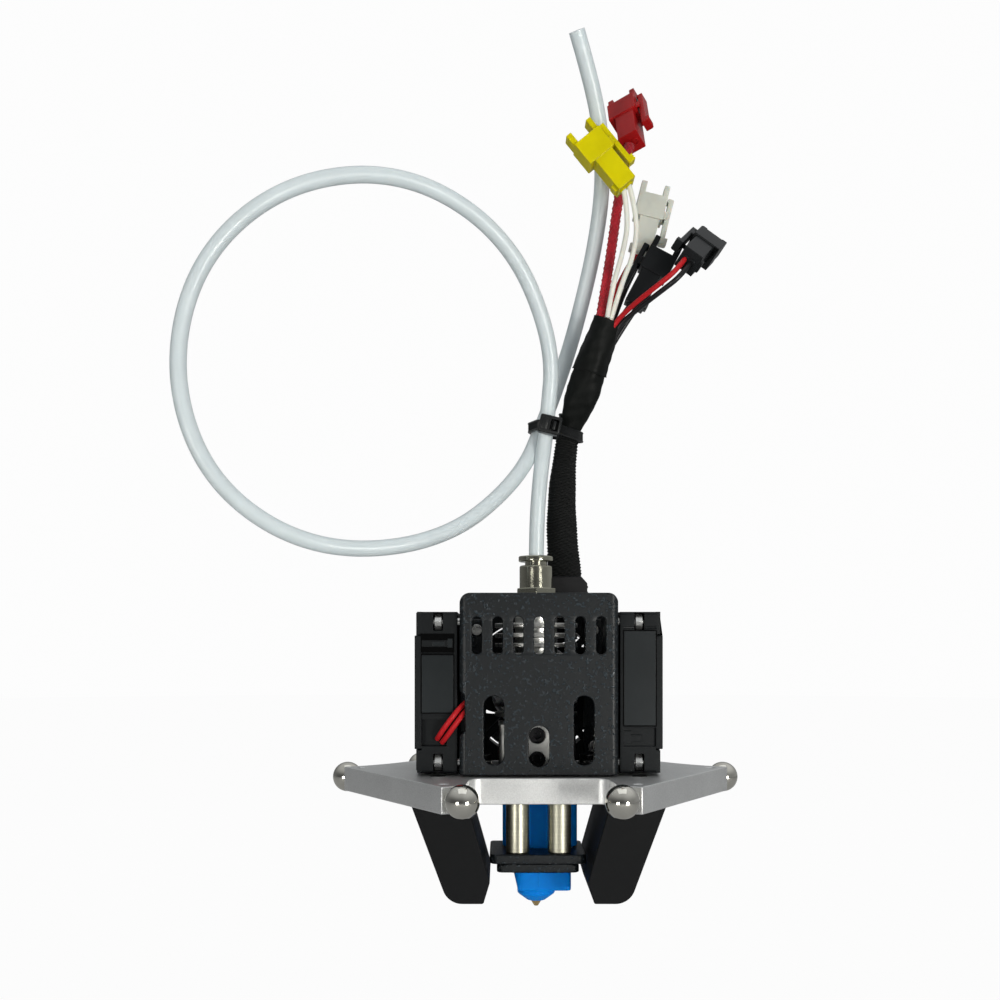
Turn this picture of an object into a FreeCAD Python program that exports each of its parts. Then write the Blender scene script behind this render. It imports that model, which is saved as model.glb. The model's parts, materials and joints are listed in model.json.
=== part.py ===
"""Hotend assembly of a delta printer: effector plate, hotend, cooling fans, tube and wiring harness.

Millimetres. X to the right, -Y to the front, +Z up; the nozzle points down.
The origin is on the nozzle axis, in the plane through the centres of the six balls.
"""
import FreeCAD, Part
import math
import os
from FreeCAD import Vector

# ---------------------------------------------------------------- driving dimensions

# effector plate and ball joints
BALL_RADIUS = 4.0
BALL_RING = 40.0            # nozzle axis to the line through one pair of balls
BALL_SPACING = 66.0         # centre to centre in one pair
BAR_LENGTH = 57.0           # each ball bar, end face to end face
BAR_WIDTH = 6.0
PLATE_THICKNESS = 6.4
BAR_ANGLES = (210, 330, 90)
STUD_HOLE_RADIUS = 1.5
STUD_HOLE_DEPTH = 9.0
SET_SCREW_RADIUS = 1.25
POCKET_FRONT_Y = -27.4      # bottom of the pocket between the two front bars
POCKET_HALF_WIDTH = 16.9
EDGE_SAG = 3.0              # how far the two rear edges bow inwards

# screw places on the plate, as (x, y)
SHROUD_FEET = [(-14.4, -15.6), (14.4, -15.6), (-14.4, 4.0), (14.4, 4.0)]
SINK_SCREWS = [(-7.4, -7.4), (7.4, -7.4), (-7.4, 7.4), (7.4, 7.4)]
DUCT_SCREWS = [(-25.1, -21.6), (-25.1, 11.2), (25.1, -21.6), (25.1, 19.2)]

# front shroud, a folded sheet
SHROUD_HALF_WIDTH = 19.6
SHROUD_FRONT_Y = -25.0
SHROUD_BACK_Y = 12.0
SHROUD_TOP = 48.6
SHEET = 1.2
VENT_COUNT = 7
VENT_PITCH = 5.1
VENT_WIDTH = 2.4

# the two blowers and the fan behind the heat sink, all 40 mm square and 10 mm thick
FAN_SIZE = 40.0
FAN_BOTTOM = 4.0
BLOWER_INNER_X = 20.2
BLOWER_FRONT_Y = -22.0
FAN_HOLE_INSET = 2.5
HUB_Y = -1.0
HUB_Z = 26.0
REAR_FAN_FRONT_Y = 12.2
REAR_FAN_DEPTH = 10.0
SHAFT_RADIUS = 1.0
SCROLL_RADIUS = 15.5        # inner wall of a blower's housing, round the hub
BLADE_COUNT = 30            # blades of a blower's impeller
RUNNING_CLEARANCE = 0.05

# hotend
HEAT_SINK_TOP = 46.5
FIN_COUNT = 10
FIN_PITCH = 2.6
CLAMP_HEIGHTS = (6.2, 12.4)  # the two screws that clamp the heat break
HEAT_BREAK_BORE = 3.5
TUBE_RADIUS = 2.0
NOZZLE_TIP = -33.4
BLOCK_TOP = -7.6
BLOCK_BOTTOM = -27.0
COLLET_TRAVEL = 1.0
CARTRIDGE_PLACE = (1.4, 8.6)
THERMISTOR_PLACE = (4.9, 0.6)

# standoffs and guard plates
STANDOFF_X = (-5.1, 5.5)
STANDOFF_Y = -14.0
STANDOFF_BOTTOM = -17.0
GUARD_THICKNESS = 2.4
LOWER_GUARD_THICKNESS = 2.0

# harness
WIRE_RADIUS = 0.65
BRAID_RADIUS = 1.2
SLEEVE_RADIUS = 2.9

PLATE_TOP = PLATE_THICKNESS / 2
PLATE_BOTTOM = -PLATE_THICKNESS / 2
FAN_TOP = FAN_BOTTOM + FAN_SIZE
FAN_MID_Z = FAN_BOTTOM + FAN_SIZE / 2
BLOWER_MID_Y = BLOWER_FRONT_Y + FAN_SIZE / 2
BLOWER_BACK_Y = BLOWER_FRONT_Y + FAN_SIZE

# ---------------------------------------------------------------- cord routes (chosen by hand)

TUBE_ROUTE = [
    (0, 0, 49.5), (0, 0, 66), (1.0, -2.5, 80.5), (2.6, -6.5, 93), (4.3, -11, 113.4),
    (-7.6, -20, 138.1), (-32.3, -30, 150.5), (-60.3, -36, 145.6), (-80.9, -38.5, 126.5),
    (-87.2, -38, 98.7), (-78.0, -35, 72.8), (-54.0, -29, 58.0), (-24.2, -18, 61.4),
    (-4.4, -5.5, 78.9), (3.0, 2.5, 97.6), (8.6, 1.5, 113.5), (12.3, -2, 127.0),
    (15.2, -6, 139.9), (16.9, -10.5, 153.4), (16.0, -15.5, 165.6), (13.2, -20.7, 176.2),
    (9.2, -26.0, 186.2),
]
SLEEVE_ROUTE = [
    (8.2, 9.6, 54.3), (7.3, 8.4, 63.5), (6.9, 4.0, 74), (7.4, -0.6, 84.5), (8.9, -4.2, 96.2),
]
RED_LEAD_ROUTE = [
    (16.3, -9.6, 120.0), (17.6, -10, 128), (19.2, -11.4, 138.5), (20.8, -13.2, 151.2), (23.6, -12, 164.0),
]
YELLOW_LEAD_ROUTES = [
    [
        (17.9, -12.1, 119.6), (19.0, -13, 127), (21.4, -16.5, 134.6), (22.6, -20.5, 142.2),
        (21.0, -22, 149.2),
    ],
    [
        (18.9, -11.2, 119.2), (21.2, -13, 127.5), (24.3, -16.5, 134.5), (24.8, -20.5, 142.4),
        (22.4, -22, 149.9),
    ],
]
WHITE_LEAD_ROUTES = [
    [
        (14.3, -6.2, 109.8), (16.2, -7.3, 114.6), (18.3, -7.9, 120.0), (19.8, -6.6, 125.8),
        (22.6, -4.4, 133.0), (26.4, -2.4, 139.1),
    ],
    [
        (15.7, -6.4, 109.4), (17.6, -7.4, 114.2), (19.8, -7.6, 119.8), (21.9, -5.8, 125.6),
        (24.8, -3.6, 132.4), (28.2, -2.4, 138.9),
    ],
]
BLACK_LEAD_A_ROUTES = [
    [
        (9.6, -4.6, 96.8), (12.8, -6.9, 103.6), (16.2, -8.4, 111.4), (20.2, -8.9, 118.4),
        (24.2, -8.8, 124.0),
    ],
    [
        (11.0, -4.2, 96.5), (14.4, -6.4, 103.0), (17.9, -7.9, 110.6), (21.9, -8.5, 117.4),
        (25.8, -8.5, 123.2),
    ],
]
BLACK_LEAD_B_ROUTES = [
    [
        (16.0, -10.1, 109.2), (17.7, -11.2, 113.4), (19.8, -12.0, 118.4), (24.3, -16.2, 122.0),
        (29.2, -21.6, 124.8), (33.9, -24.3, 128.0), (36.5, -21.1, 132.0),
    ],
    [
        (17.2, -9.2, 108.7), (18.9, -10.3, 112.9), (20.8, -11.2, 117.8), (25.5, -15.3, 121.1),
        (30.5, -21.0, 123.8), (35.1, -23.9, 126.8), (37.9, -21.0, 131.0),
    ],
]
BLOWER_LEAD_ROUTES = [
    [
        (-25.2, -20.7, 12.4), (-24.4, -23.1, 13.8), (-21.4, -24.3, 17.9), (-18.9, -22.4, 21.0),
        (-17.2, -19.6, 22.0),
    ],
    [
        (-24.0, -20.7, 11.5), (-22.9, -23.2, 12.9), (-20.4, -24.4, 16.4), (-18.2, -22.5, 19.4),
        (-16.6, -19.7, 20.3),
    ],
]

# connectors: name, wire end, mouth direction, side of the latch lever
CONNECTORS = [
    ("red", (24.2, -11.9, 164.4), (-0.03, 0.55, 0.83), (0.80, -0.60, 0.0)),
    ("yellow", (21.7, -22.0, 149.4), (-0.63, 0.0, 0.77), (0.77, 0, 0.63)),
    ("white", (27.4, -2.4, 138.8), (0.24, 0.0, 0.97), (0.97, 0, -0.24)),
    ("black_a", (24.9, -8.8, 123.4), (0.47, 0.0, 0.88), (-0.88, 0, 0.47)),
    ("black_b", (37.2, -21.5, 131.1), (0.41, 0.74, 0.53), (-0.70, 0.1, 0.60)),
]

# ---------------------------------------------------------------- shape helpers


def save(name, shape):
    """Write one sub-part, after checking that each of its solids is closed and valid."""
    for solid in shape.Solids:
        if not solid.isValid() or not solid.isClosed():
            print("BAD SOLID", name)
    shape.exportStep("parts/" + name + ".step")
    box_size = shape.BoundBox
    print(f"{name:22s} solids {len(shape.Solids)} volume {shape.Volume:9.1f} "
          f"box {box_size.XLength:6.1f} {box_size.YLength:6.1f} {box_size.ZLength:6.1f}")


def box(x0, x1, y0, y1, z0, z1):
    return Part.makeBox(x1 - x0, y1 - y0, z1 - z0, Vector(x0, y0, z0))


def cylinder(radius, start, direction, length):
    return Part.makeCylinder(radius, length, Vector(*start), Vector(*direction))


def cone(radius_start, radius_end, start, direction, length):
    return Part.makeCone(radius_start, radius_end, length, Vector(*start), Vector(*direction))


def fuse(shapes):
    whole = shapes[0]
    if len(shapes) > 1:
        whole = whole.fuse(shapes[1:])
    return whole.removeSplitter()


def group(shapes):
    return Part.makeCompound(shapes)


def rounded_wire(points, radii, sags=None):
    """Closed wire through the points; each corner has its own radius, each edge its own inward bow."""
    count = len(points)
    sags = sags or [0] * count
    corners = []
    for i, point in enumerate(points):
        if radii[i] == 0:
            corners.append((point, None, point))
            continue
        before = (points[i - 1] - point).normalize()
        after = (points[(i + 1) % count] - point).normalize()
        half = before.getAngle(after) / 2
        reach = radii[i] / math.tan(half)
        middle = (before + after).normalize()
        arc_mid = point + middle * (radii[i] / math.sin(half) - radii[i])
        corners.append((point + before * reach, arc_mid, point + after * reach))
    edges = []
    for i, (start, arc_mid, end) in enumerate(corners):
        if arc_mid is not None:
            edges.append(Part.Arc(start, arc_mid, end).toShape())
        following = corners[(i + 1) % count][0]
        if sags[i]:
            chord = following - end
            inward = Vector(-chord.y, chord.x, 0).normalize()
            bow = (end + following) * 0.5 + inward * sags[i]
            edges.append(Part.Arc(end, bow, following).toShape())
        elif (following - end).Length > 1e-6:
            edges.append(Part.LineSegment(end, following).toShape())
    return Part.Wire(edges)


def plate_xy(points, radii, z0, z1, sags=None):
    """Flat plate from an XY outline given counterclockwise."""
    if not isinstance(radii, (list, tuple)):
        radii = [radii] * len(points)
    wire = rounded_wire([Vector(x, y, z0) for x, y in points], radii, sags)
    return Part.Face(wire).extrude(Vector(0, 0, z1 - z0))


def plate_xz(points, radii, y0, y1):
    """Plate standing across Y, from an XZ outline."""
    if not isinstance(radii, (list, tuple)):
        radii = [radii] * len(points)
    wire = rounded_wire([Vector(x, y0, z) for x, z in points], radii)
    return Part.Face(wire).extrude(Vector(0, y1 - y0, 0))


def plate_yz(points, radii, x0, x1):
    """Plate standing across X, from a YZ outline."""
    if not isinstance(radii, (list, tuple)):
        radii = [radii] * len(points)
    wire = rounded_wire([Vector(x0, y, z) for y, z in points], radii)
    return Part.Face(wire).extrude(Vector(x1 - x0, 0, 0))


def rectangle(x0, x1, y0, y1):
    return [(x0, y0), (x1, y0), (x1, y1), (x0, y1)]


def hex_prism(across_flats, start, direction, length):
    """Hexagonal prism along any direction."""
    reach = across_flats / math.sqrt(3)
    turn = FreeCAD.Rotation(Vector(0, 0, 1), Vector(*direction))
    corners = []
    for i in range(6):
        angle = math.radians(60 * i + 30)
        flat = Vector(reach * math.cos(angle), reach * math.sin(angle), 0)
        corners.append(turn.multVec(flat) + Vector(*start))
    face = Part.Face(Part.makePolygon(corners + corners[:1]))
    return face.extrude(Vector(*direction).normalize() * length)


def along(start, direction, distance):
    return tuple(Vector(*start) + Vector(*direction).normalize() * distance)


def cap_screw(seat, direction, shank_radius, length, head_radius, head_height, key=None):
    """Socket-head screw; seat is under the head, direction points along the shank."""
    back = tuple(-Vector(*direction))
    shank = cylinder(shank_radius, seat, direction, length)
    head = cylinder(head_radius, seat, back, head_height)
    key = key or head_radius * 0.9
    socket = hex_prism(key, along(seat, back, head_height * 0.4), back, head_height)
    return fuse([shank, head]).cut(socket)


def flat_screw(face, direction, shank_radius, length, head_radius):
    """Countersunk screw; face is the centre of its flat top."""
    depth = head_radius - shank_radius
    head = cone(head_radius, shank_radius, face, direction, depth)
    shank = cylinder(shank_radius, face, direction, length)
    socket = hex_prism(shank_radius * 1.2, face, direction, depth)
    return fuse([head, shank]).cut(socket)


def countersink(face, direction, hole_radius, length, head_radius):
    """Hole that takes a flat_screw, larger all round by the running clearance."""
    depth = head_radius - hole_radius
    wide = RUNNING_CLEARANCE
    hole = cylinder(hole_radius + wide, face, direction, length)
    return hole.fuse(cone(head_radius + wide, hole_radius + wide, face, direction, depth))


def grub_screw(face, direction, radius, length):
    screw = cylinder(radius, face, direction, length)
    return screw.cut(hex_prism(radius, face, direction, length * 0.5))


def nut_along_x(x0, x1, y, z, across_flats, hole_radius):
    nut = hex_prism(across_flats, (x0, y, z), (1, 0, 0), x1 - x0)
    return nut.cut(cylinder(hole_radius, (x0 - 1, y, z), (1, 0, 0), x1 - x0 + 2))


def cord(points, radius, name):
    """Tube of straight runs joined by tangent arcs, each arc as large as its two runs allow."""
    nodes = [Vector(*p) for p in points]
    edges = []
    start = nodes[0]
    radii = []
    for i in range(1, len(nodes) - 1):
        before = nodes[i - 1] - nodes[i]
        after = nodes[i + 1] - nodes[i]
        reach = 0.45 * min(before.Length, after.Length)
        u = Vector(before).normalize()
        v = Vector(after).normalize()
        half = u.getAngle(v) / 2
        bend = reach * math.tan(half)
        radii.append(bend)
        centre_way = (u + v).normalize()
        arc_mid = nodes[i] + centre_way * (bend / math.sin(half) - bend)
        arc_start = nodes[i] + u * reach
        arc_end = nodes[i] + v * reach
        edges.append(Part.LineSegment(start, arc_start).toShape())
        edges.append(Part.Arc(arc_start, arc_mid, arc_end).toShape())
        start = arc_end
    edges.append(Part.LineSegment(start, nodes[-1]).toShape())
    path = Part.Wire(edges)
    ring = Part.makeCircle(radius, nodes[0], nodes[1] - nodes[0])
    tube = path.makePipeShell([Part.Wire([ring])], True, False)
    expected = path.Length * math.pi * radius ** 2
    print(f"{name}: length {path.Length:.1f} tightest bend {min(radii):.1f} mm "
          f"= {min(radii) / radius / 2:.1f} diameters, volume ratio {tube.Volume / expected:.4f}")
    return tube


# ---------------------------------------------------------------- effector plate


def bar_point(angle, radial, lengthwise):
    """XY point on a ball bar: radial from the axis, lengthwise counterclockwise along the bar."""
    a = math.radians(angle)
    x = radial * math.cos(a) - lengthwise * math.sin(a)
    y = radial * math.sin(a) + lengthwise * math.cos(a)
    return x, y


def bar_direction(angle):
    a = math.radians(angle)
    return -math.sin(a), math.cos(a), 0


def ball_places():
    """(ball centre, outward direction of its stud) for the six balls."""
    places = []
    for angle in BAR_ANGLES:
        for side in (-1, 1):
            x, y = bar_point(angle, BALL_RING, side * BALL_SPACING / 2)
            dx, dy, _ = bar_direction(angle)
            places.append(((x, y, 0), (side * dx, side * dy, 0)))
    return places


def effector_plate():
    inner = BALL_RING - BAR_WIDTH / 2
    outer = BALL_RING + BAR_WIDTH / 2
    half = BAR_LENGTH / 2
    points, radii, sags = [], [], []
    for angle in BAR_ANGLES:
        points += [bar_point(angle, inner, -half), bar_point(angle, outer, -half),
                   bar_point(angle, outer, half), bar_point(angle, inner, half)]
        radii += [0, 0.4, 0.4, 0]
        if angle == BAR_ANGLES[0]:
            sags += [0, 0, 0, 0]
            points += [(-POCKET_HALF_WIDTH, POCKET_FRONT_Y), (POCKET_HALF_WIDTH, POCKET_FRONT_Y)]
            radii += [3.0, 3.0]
            sags += [0, 0]
        else:
            sags += [0, 0, 0, EDGE_SAG]
    plate = plate_xy(points, radii, PLATE_BOTTOM, PLATE_TOP, sags)
    cuts = [cylinder(6.1, (0, 0, PLATE_BOTTOM), (0, 0, 1), PLATE_THICKNESS)]
    for centre, way in ball_places():
        end_face = along(centre, tuple(-Vector(*way)), (BALL_SPACING - BAR_LENGTH) / 2)
        cuts.append(cylinder(STUD_HOLE_RADIUS, end_face, tuple(-Vector(*way)), STUD_HOLE_DEPTH))
        x, y, _ = along(end_face, tuple(-Vector(*way)), 5.0)
        cuts.append(cylinder(SET_SCREW_RADIUS + RUNNING_CLEARANCE, (x, y, 0.4), (0, 0, 1), PLATE_TOP))
    cuts.append(plate_xy(rectangle(-28.8, -21.4, -16.2, 6.6), 1.5, PLATE_BOTTOM, PLATE_TOP))
    cuts.append(plate_xy(rectangle(21.4, 28.8, -10.6, 12.2), 1.5, PLATE_BOTTOM, PLATE_TOP))
    for x in STANDOFF_X:
        place = (x, STANDOFF_Y, PLATE_BOTTOM)
        cuts.append(cylinder(1.5 + RUNNING_CLEARANCE, place, (0, 0, 1), PLATE_THICKNESS))
    for x, y in SHROUD_FEET:
        cuts.append(cylinder(1.5 + RUNNING_CLEARANCE, (x, y, -2), (0, 0, 1), PLATE_TOP + 2))
    for x, y in SINK_SCREWS:
        cuts.append(countersink((x, y, PLATE_BOTTOM), (0, 0, 1), 1.5, PLATE_THICKNESS, 2.8))
    for x, y in DUCT_SCREWS:
        cuts.append(countersink((x, y, PLATE_TOP), (0, 0, -1), 1.0, PLATE_THICKNESS, 1.9))
    plate = plate.cut(cuts[0].multiFuse(cuts[1:]))
    save("effector_plate", plate)


def ball_studs():
    """Six identical studs, one node each, since each takes its own rod end."""
    names = ("left_rear", "left_front", "right_front", "right_rear", "rear_right", "rear_left")
    neck_radius = 1.8
    shank_radius = STUD_HOLE_RADIUS - 0.03
    neck_end = (BALL_SPACING - BAR_LENGTH) / 2
    shank_end = neck_end + STUD_HOLE_DEPTH - 0.5
    ball_end = math.sqrt(BALL_RADIUS ** 2 - neck_radius ** 2)
    corners = [(neck_radius, ball_end), (neck_radius, neck_end), (shank_radius, neck_end),
               (shank_radius, shank_end), (0, shank_end), (0, -BALL_RADIUS)]
    outline = [Vector(radius, 0, height) for radius, height in corners]
    edges = [Part.LineSegment(a, b).toShape() for a, b in zip(outline, outline[1:])]
    edges.append(Part.Arc(outline[-1], Vector(BALL_RADIUS, 0, 0), outline[0]).toShape())
    stud = Part.Face(Part.Wire(edges)).revolve(Vector(0, 0, 0), Vector(0, 0, 1), 360)
    for name, (centre, way) in zip(names, ball_places()):
        inwards = tuple(-Vector(*way))
        save("ball_stud_" + name, to_place(stud, centre, inwards, (0, 0, 1)))


def stud_set_screws():
    screws = []
    for centre, way in ball_places():
        x, y, _ = along(centre, tuple(-Vector(*way)), (BALL_SPACING - BAR_LENGTH) / 2 + 5.0)
        top = PLATE_TOP - 0.3
        screws.append(grub_screw((x, y, top), (0, 0, -1), SET_SCREW_RADIUS, top - STUD_HOLE_RADIUS - 0.05))
    save("stud_set_screws", group(screws))


# ---------------------------------------------------------------- shroud


def slot_xz(x, z_low, z_high, width):
    """Round-ended upright slot through the shroud's front."""
    outline = rectangle(x - width / 2, x + width / 2, z_low, z_high)
    return plate_xz(outline, width / 2 - 0.01, SHROUD_FRONT_Y - 1, SHROUD_FRONT_Y + SHEET + 1)


def front_shroud():
    w = SHROUD_HALF_WIDTH
    bottom = PLATE_TOP + 0.5
    outer = [(-w, SHROUD_BACK_Y), (-w, SHROUD_FRONT_Y), (w, SHROUD_FRONT_Y), (w, SHROUD_BACK_Y)]
    inner = [(-w + SHEET, SHROUD_BACK_Y + 1), (-w + SHEET, SHROUD_FRONT_Y + SHEET),
             (w - SHEET, SHROUD_FRONT_Y + SHEET), (w - SHEET, SHROUD_BACK_Y + 1)]
    body = plate_xy(outer, [0, 1.6, 1.6, 0], bottom, SHROUD_TOP)
    body = body.cut(plate_xy(inner, [0, 0.6, 0.6, 0], bottom, SHROUD_TOP))
    top_corners = plate_xz(rectangle(-w, w, bottom, SHROUD_TOP), [0.5, 0.5, 2.6, 2.6], SHROUD_FRONT_Y, -20.0)
    flanges = box(-w, w, -20.0, SHROUD_BACK_Y, bottom, FAN_TOP - 0.4)
    body = body.common(top_corners.fuse(flanges))
    feet = []
    for x, y in SHROUD_FEET:
        side = math.copysign(1, x)
        tab = rectangle(min(side * 11.6, side * (w - 0.2)), max(side * 11.6, side * (w - 0.2)), y - 4, y + 4)
        feet.append(plate_xy(tab, 0.8, PLATE_TOP, PLATE_TOP + SHEET))
    lips = []
    for side in (-1, 1):
        lip_start, lip_end = sorted((side * 13.4, side * (w - 0.2)))
        lip = rectangle(lip_start, lip_end, 5.0, FAN_TOP - 1)
        lips.append(plate_xz(lip, 0.8, SHROUD_BACK_Y - SHEET, SHROUD_BACK_Y))
    body = fuse([body] + feet + lips)
    cuts = []
    for x in (-11.1, 11.1):
        cuts.append(slot_xz(x, 6.1, 23.2, 5.0))
    cuts.append(slot_xz(0, 5.7, 15.9, 5.0))
    for i in range(VENT_COUNT):
        cuts.append(slot_xz((i - (VENT_COUNT - 1) / 2) * VENT_PITCH, 33.4, 42.7, VENT_WIDTH))
    notch = [(-w - 1, 12.6), (-w + 1.3, 14.4), (-w + 1.3, 23.4), (-w - 1, 25.2)]
    cuts.append(plate_xz(notch, 0, SHROUD_FRONT_Y - 1, -19.0))
    for x, y in SHROUD_FEET:
        cuts.append(cylinder(1.6, (x, y, PLATE_TOP - 1), (0, 0, 1), 4))
    for x in (-16, 16):
        for z in (FAN_MID_Z - 16, FAN_MID_Z + 16):
            cuts.append(cylinder(1.5 + RUNNING_CLEARANCE, (x, SHROUD_BACK_Y - 3, z), (0, 1, 0), 5))
    for y, z in blower_hole_places()[:2]:
        cuts.append(cylinder(1.1, (-w - 1, y, z), (1, 0, 0), 2 * w + 2))
    body = body.cut(cuts[0].multiFuse(cuts[1:]))
    save("front_shroud", body)


def shroud_screws():
    top = PLATE_TOP + SHEET
    screws = [cap_screw((x, y, top), (0, 0, -1), 1.5, 5.0, 2.75, 2.0) for x, y in SHROUD_FEET]
    save("shroud_screws", group(screws))


# ---------------------------------------------------------------- blowers


def blower_hole_places():
    """(y, z) of the screws of the left blower."""
    low_y = BLOWER_FRONT_Y + FAN_HOLE_INSET
    high_y = BLOWER_BACK_Y - FAN_HOLE_INSET
    low_z = FAN_BOTTOM + FAN_HOLE_INSET
    high_z = FAN_TOP - FAN_HOLE_INSET
    return [(low_y, low_z), (low_y, high_z), (high_y, low_z), (high_y, high_z)]


def turned(shape):
    """The right blower is the left one turned half round the upright line between them."""
    copy = shape.copy()
    copy.rotate(Vector(0, BLOWER_MID_Y, 0), Vector(0, 0, 1), 180)
    return copy


def blower_housing():
    inner, outer, cover_face = -BLOWER_INNER_X, -30.2, -29.1
    front, back = BLOWER_FRONT_Y, BLOWER_BACK_Y
    body = plate_yz(rectangle(front, back, FAN_BOTTOM, FAN_TOP), 0.8, cover_face, inner)
    corners = []
    for y0, y1 in ((front, front + 5.4), (back - 5.4, back)):
        for z0, z1 in ((FAN_BOTTOM, FAN_BOTTOM + 5.6), (FAN_TOP - 5.6, FAN_TOP)):
            corners.append(box(outer, cover_face, y0, y1, z0, z1))
    body = fuse([body] + corners)
    scroll = cylinder(SCROLL_RADIUS, (outer, HUB_Y, HUB_Z), (1, 0, 0), inner - outer - 1.0)
    throat = box(outer, inner - 1.0, HUB_Y - SCROLL_RADIUS, 7.0, FAN_BOTTOM - 1, HUB_Z)
    body = body.cut(scroll.fuse(throat))
    cuts = []
    for y, z in blower_hole_places():
        cuts.append(cylinder(1.0 + RUNNING_CLEARANCE, (outer - 1, y, z), (1, 0, 0), 12))
        front_side = y < BLOWER_MID_Y
        y0, y1 = (front - 1, y + 2.4) if front_side else (y - 2.4, back + 1)
        cuts.append(box(-26.2, -23.8, y0, y1, z - 2.2, z + 2.2))
    cuts.append(box(cover_face - 0.1, inner - 0.9, front - 1, front + 0.8, 33.6, 38.3))
    cuts.append(box(cover_face - 0.1, inner - 2.6, front - 1, front + 2.0, 10.6, 17.2))
    cuts.append(box(cover_face - 0.1, inner - 0.9, front - 1, front + 0.4, 17.2, 18.4))
    cuts.append(box(cover_face - 0.1, inner - 0.9, back - 0.8, back + 1, 10.6, 15.2))
    cuts.append(box(cover_face - 0.1, inner - 0.9, back - 0.4, back + 1, 39.8, 40.3))
    body = body.cut(cuts[0].multiFuse(cuts[1:]))
    latches = [
        box(-25.6, inner - 0.9, front + 0.1, front + 1.2, 35.0, 36.6),
        box(-23.0, inner - 0.9, front + 0.1, front + 1.2, 34.2, 37.6),
        box(-25.6, inner - 0.9, back - 1.2, back - 0.1, 11.8, 13.4),
        box(-23.0, inner - 0.9, back - 1.2, back - 0.1, 11.2, 14.4),
        cylinder(SHAFT_RADIUS, (-28.4, HUB_Y, HUB_Z), (1, 0, 0), 28.4 + inner),
    ]
    return fuse([body] + latches)


def blower_cover():
    """Intake cover with cut corners, clear of the corner blocks."""
    front, back, cut = BLOWER_FRONT_Y, BLOWER_BACK_Y, 5.9
    low, high = FAN_BOTTOM, FAN_TOP
    outline = [
        (front + cut, low), (back - cut, low), (back - cut, low + cut), (back, low + cut),
        (back, high - cut), (back - cut, high - cut), (back - cut, high), (front + cut, high),
        (front + cut, high - cut), (front, high - cut), (front, low + cut), (front + cut, low + cut),
    ]
    cover = plate_yz(outline, 0.4, -30.8, -29.1)
    rim = cylinder(14.2, (-31.1, HUB_Y, HUB_Z), (1, 0, 0), 1.0)
    cover = fuse([cover, rim])
    return cover.cut(cylinder(12.9, (-32, HUB_Y, HUB_Z), (1, 0, 0), 4))


def blower_impeller():
    """Hub, back disc, thirty blades and a tie ring."""
    axis = (1, 0, 0)
    hub = cylinder(6.5, (-28.6, HUB_Y, HUB_Z), axis, 6.9)
    disc = cylinder(13.2, (-22.6, HUB_Y, HUB_Z), axis, 0.9)
    ring = cylinder(13.4, (-28.6, HUB_Y, HUB_Z), axis, 0.8)
    ring = ring.cut(cylinder(12.6, (-29, HUB_Y, HUB_Z), axis, 2))
    blades = []
    for i in range(BLADE_COUNT):
        blade = box(-28.4, -22.4, HUB_Y - 0.3, HUB_Y + 0.3, HUB_Z + 9.4, HUB_Z + 13.2)
        blade.rotate(Vector(0, HUB_Y, HUB_Z + 11.3), Vector(1, 0, 0), 32)
        blade.rotate(Vector(0, HUB_Y, HUB_Z), Vector(1, 0, 0), i * 360 / BLADE_COUNT)
        blades.append(blade)
    wheel = fuse([hub, disc, ring] + blades)
    dish = cylinder(4.6, (-28.7, HUB_Y, HUB_Z), axis, 0.5)
    bore = cylinder(SHAFT_RADIUS + RUNNING_CLEARANCE, (-29, HUB_Y, HUB_Z), axis, 9)
    return wheel.cut(dish.fuse(bore))


def blowers():
    parts = (("housing", blower_housing()), ("cover", blower_cover()), ("impeller", blower_impeller()))
    for name, shape in parts:
        save("left_blower_" + name, shape)
        save("right_blower_" + name, turned(shape))


def blower_screws_and_nuts():
    screws, nuts = [], []
    inside_seat = SHROUD_HALF_WIDTH - SHEET
    outside_seat = 30.2
    for y, z in blower_hole_places():
        for side in (-1, 1):
            if y < BLOWER_MID_Y:
                screws.append(cap_screw((side * inside_seat, y, z), (side, 0, 0), 1.0, 9.0, 1.9, 1.4))
            else:
                screws.append(cap_screw((side * outside_seat, y, z), (-side, 0, 0), 1.0, 9.0, 1.9, 1.4))
            nuts.append(nut_along_x(side * 25.0 - 0.9, side * 25.0 + 0.9, y, z, 4.0, 1.0 + RUNNING_CLEARANCE))
    save("blower_screws", group(screws))
    save("blower_nuts", group(nuts))


# ---------------------------------------------------------------- fan behind the heat sink


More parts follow.
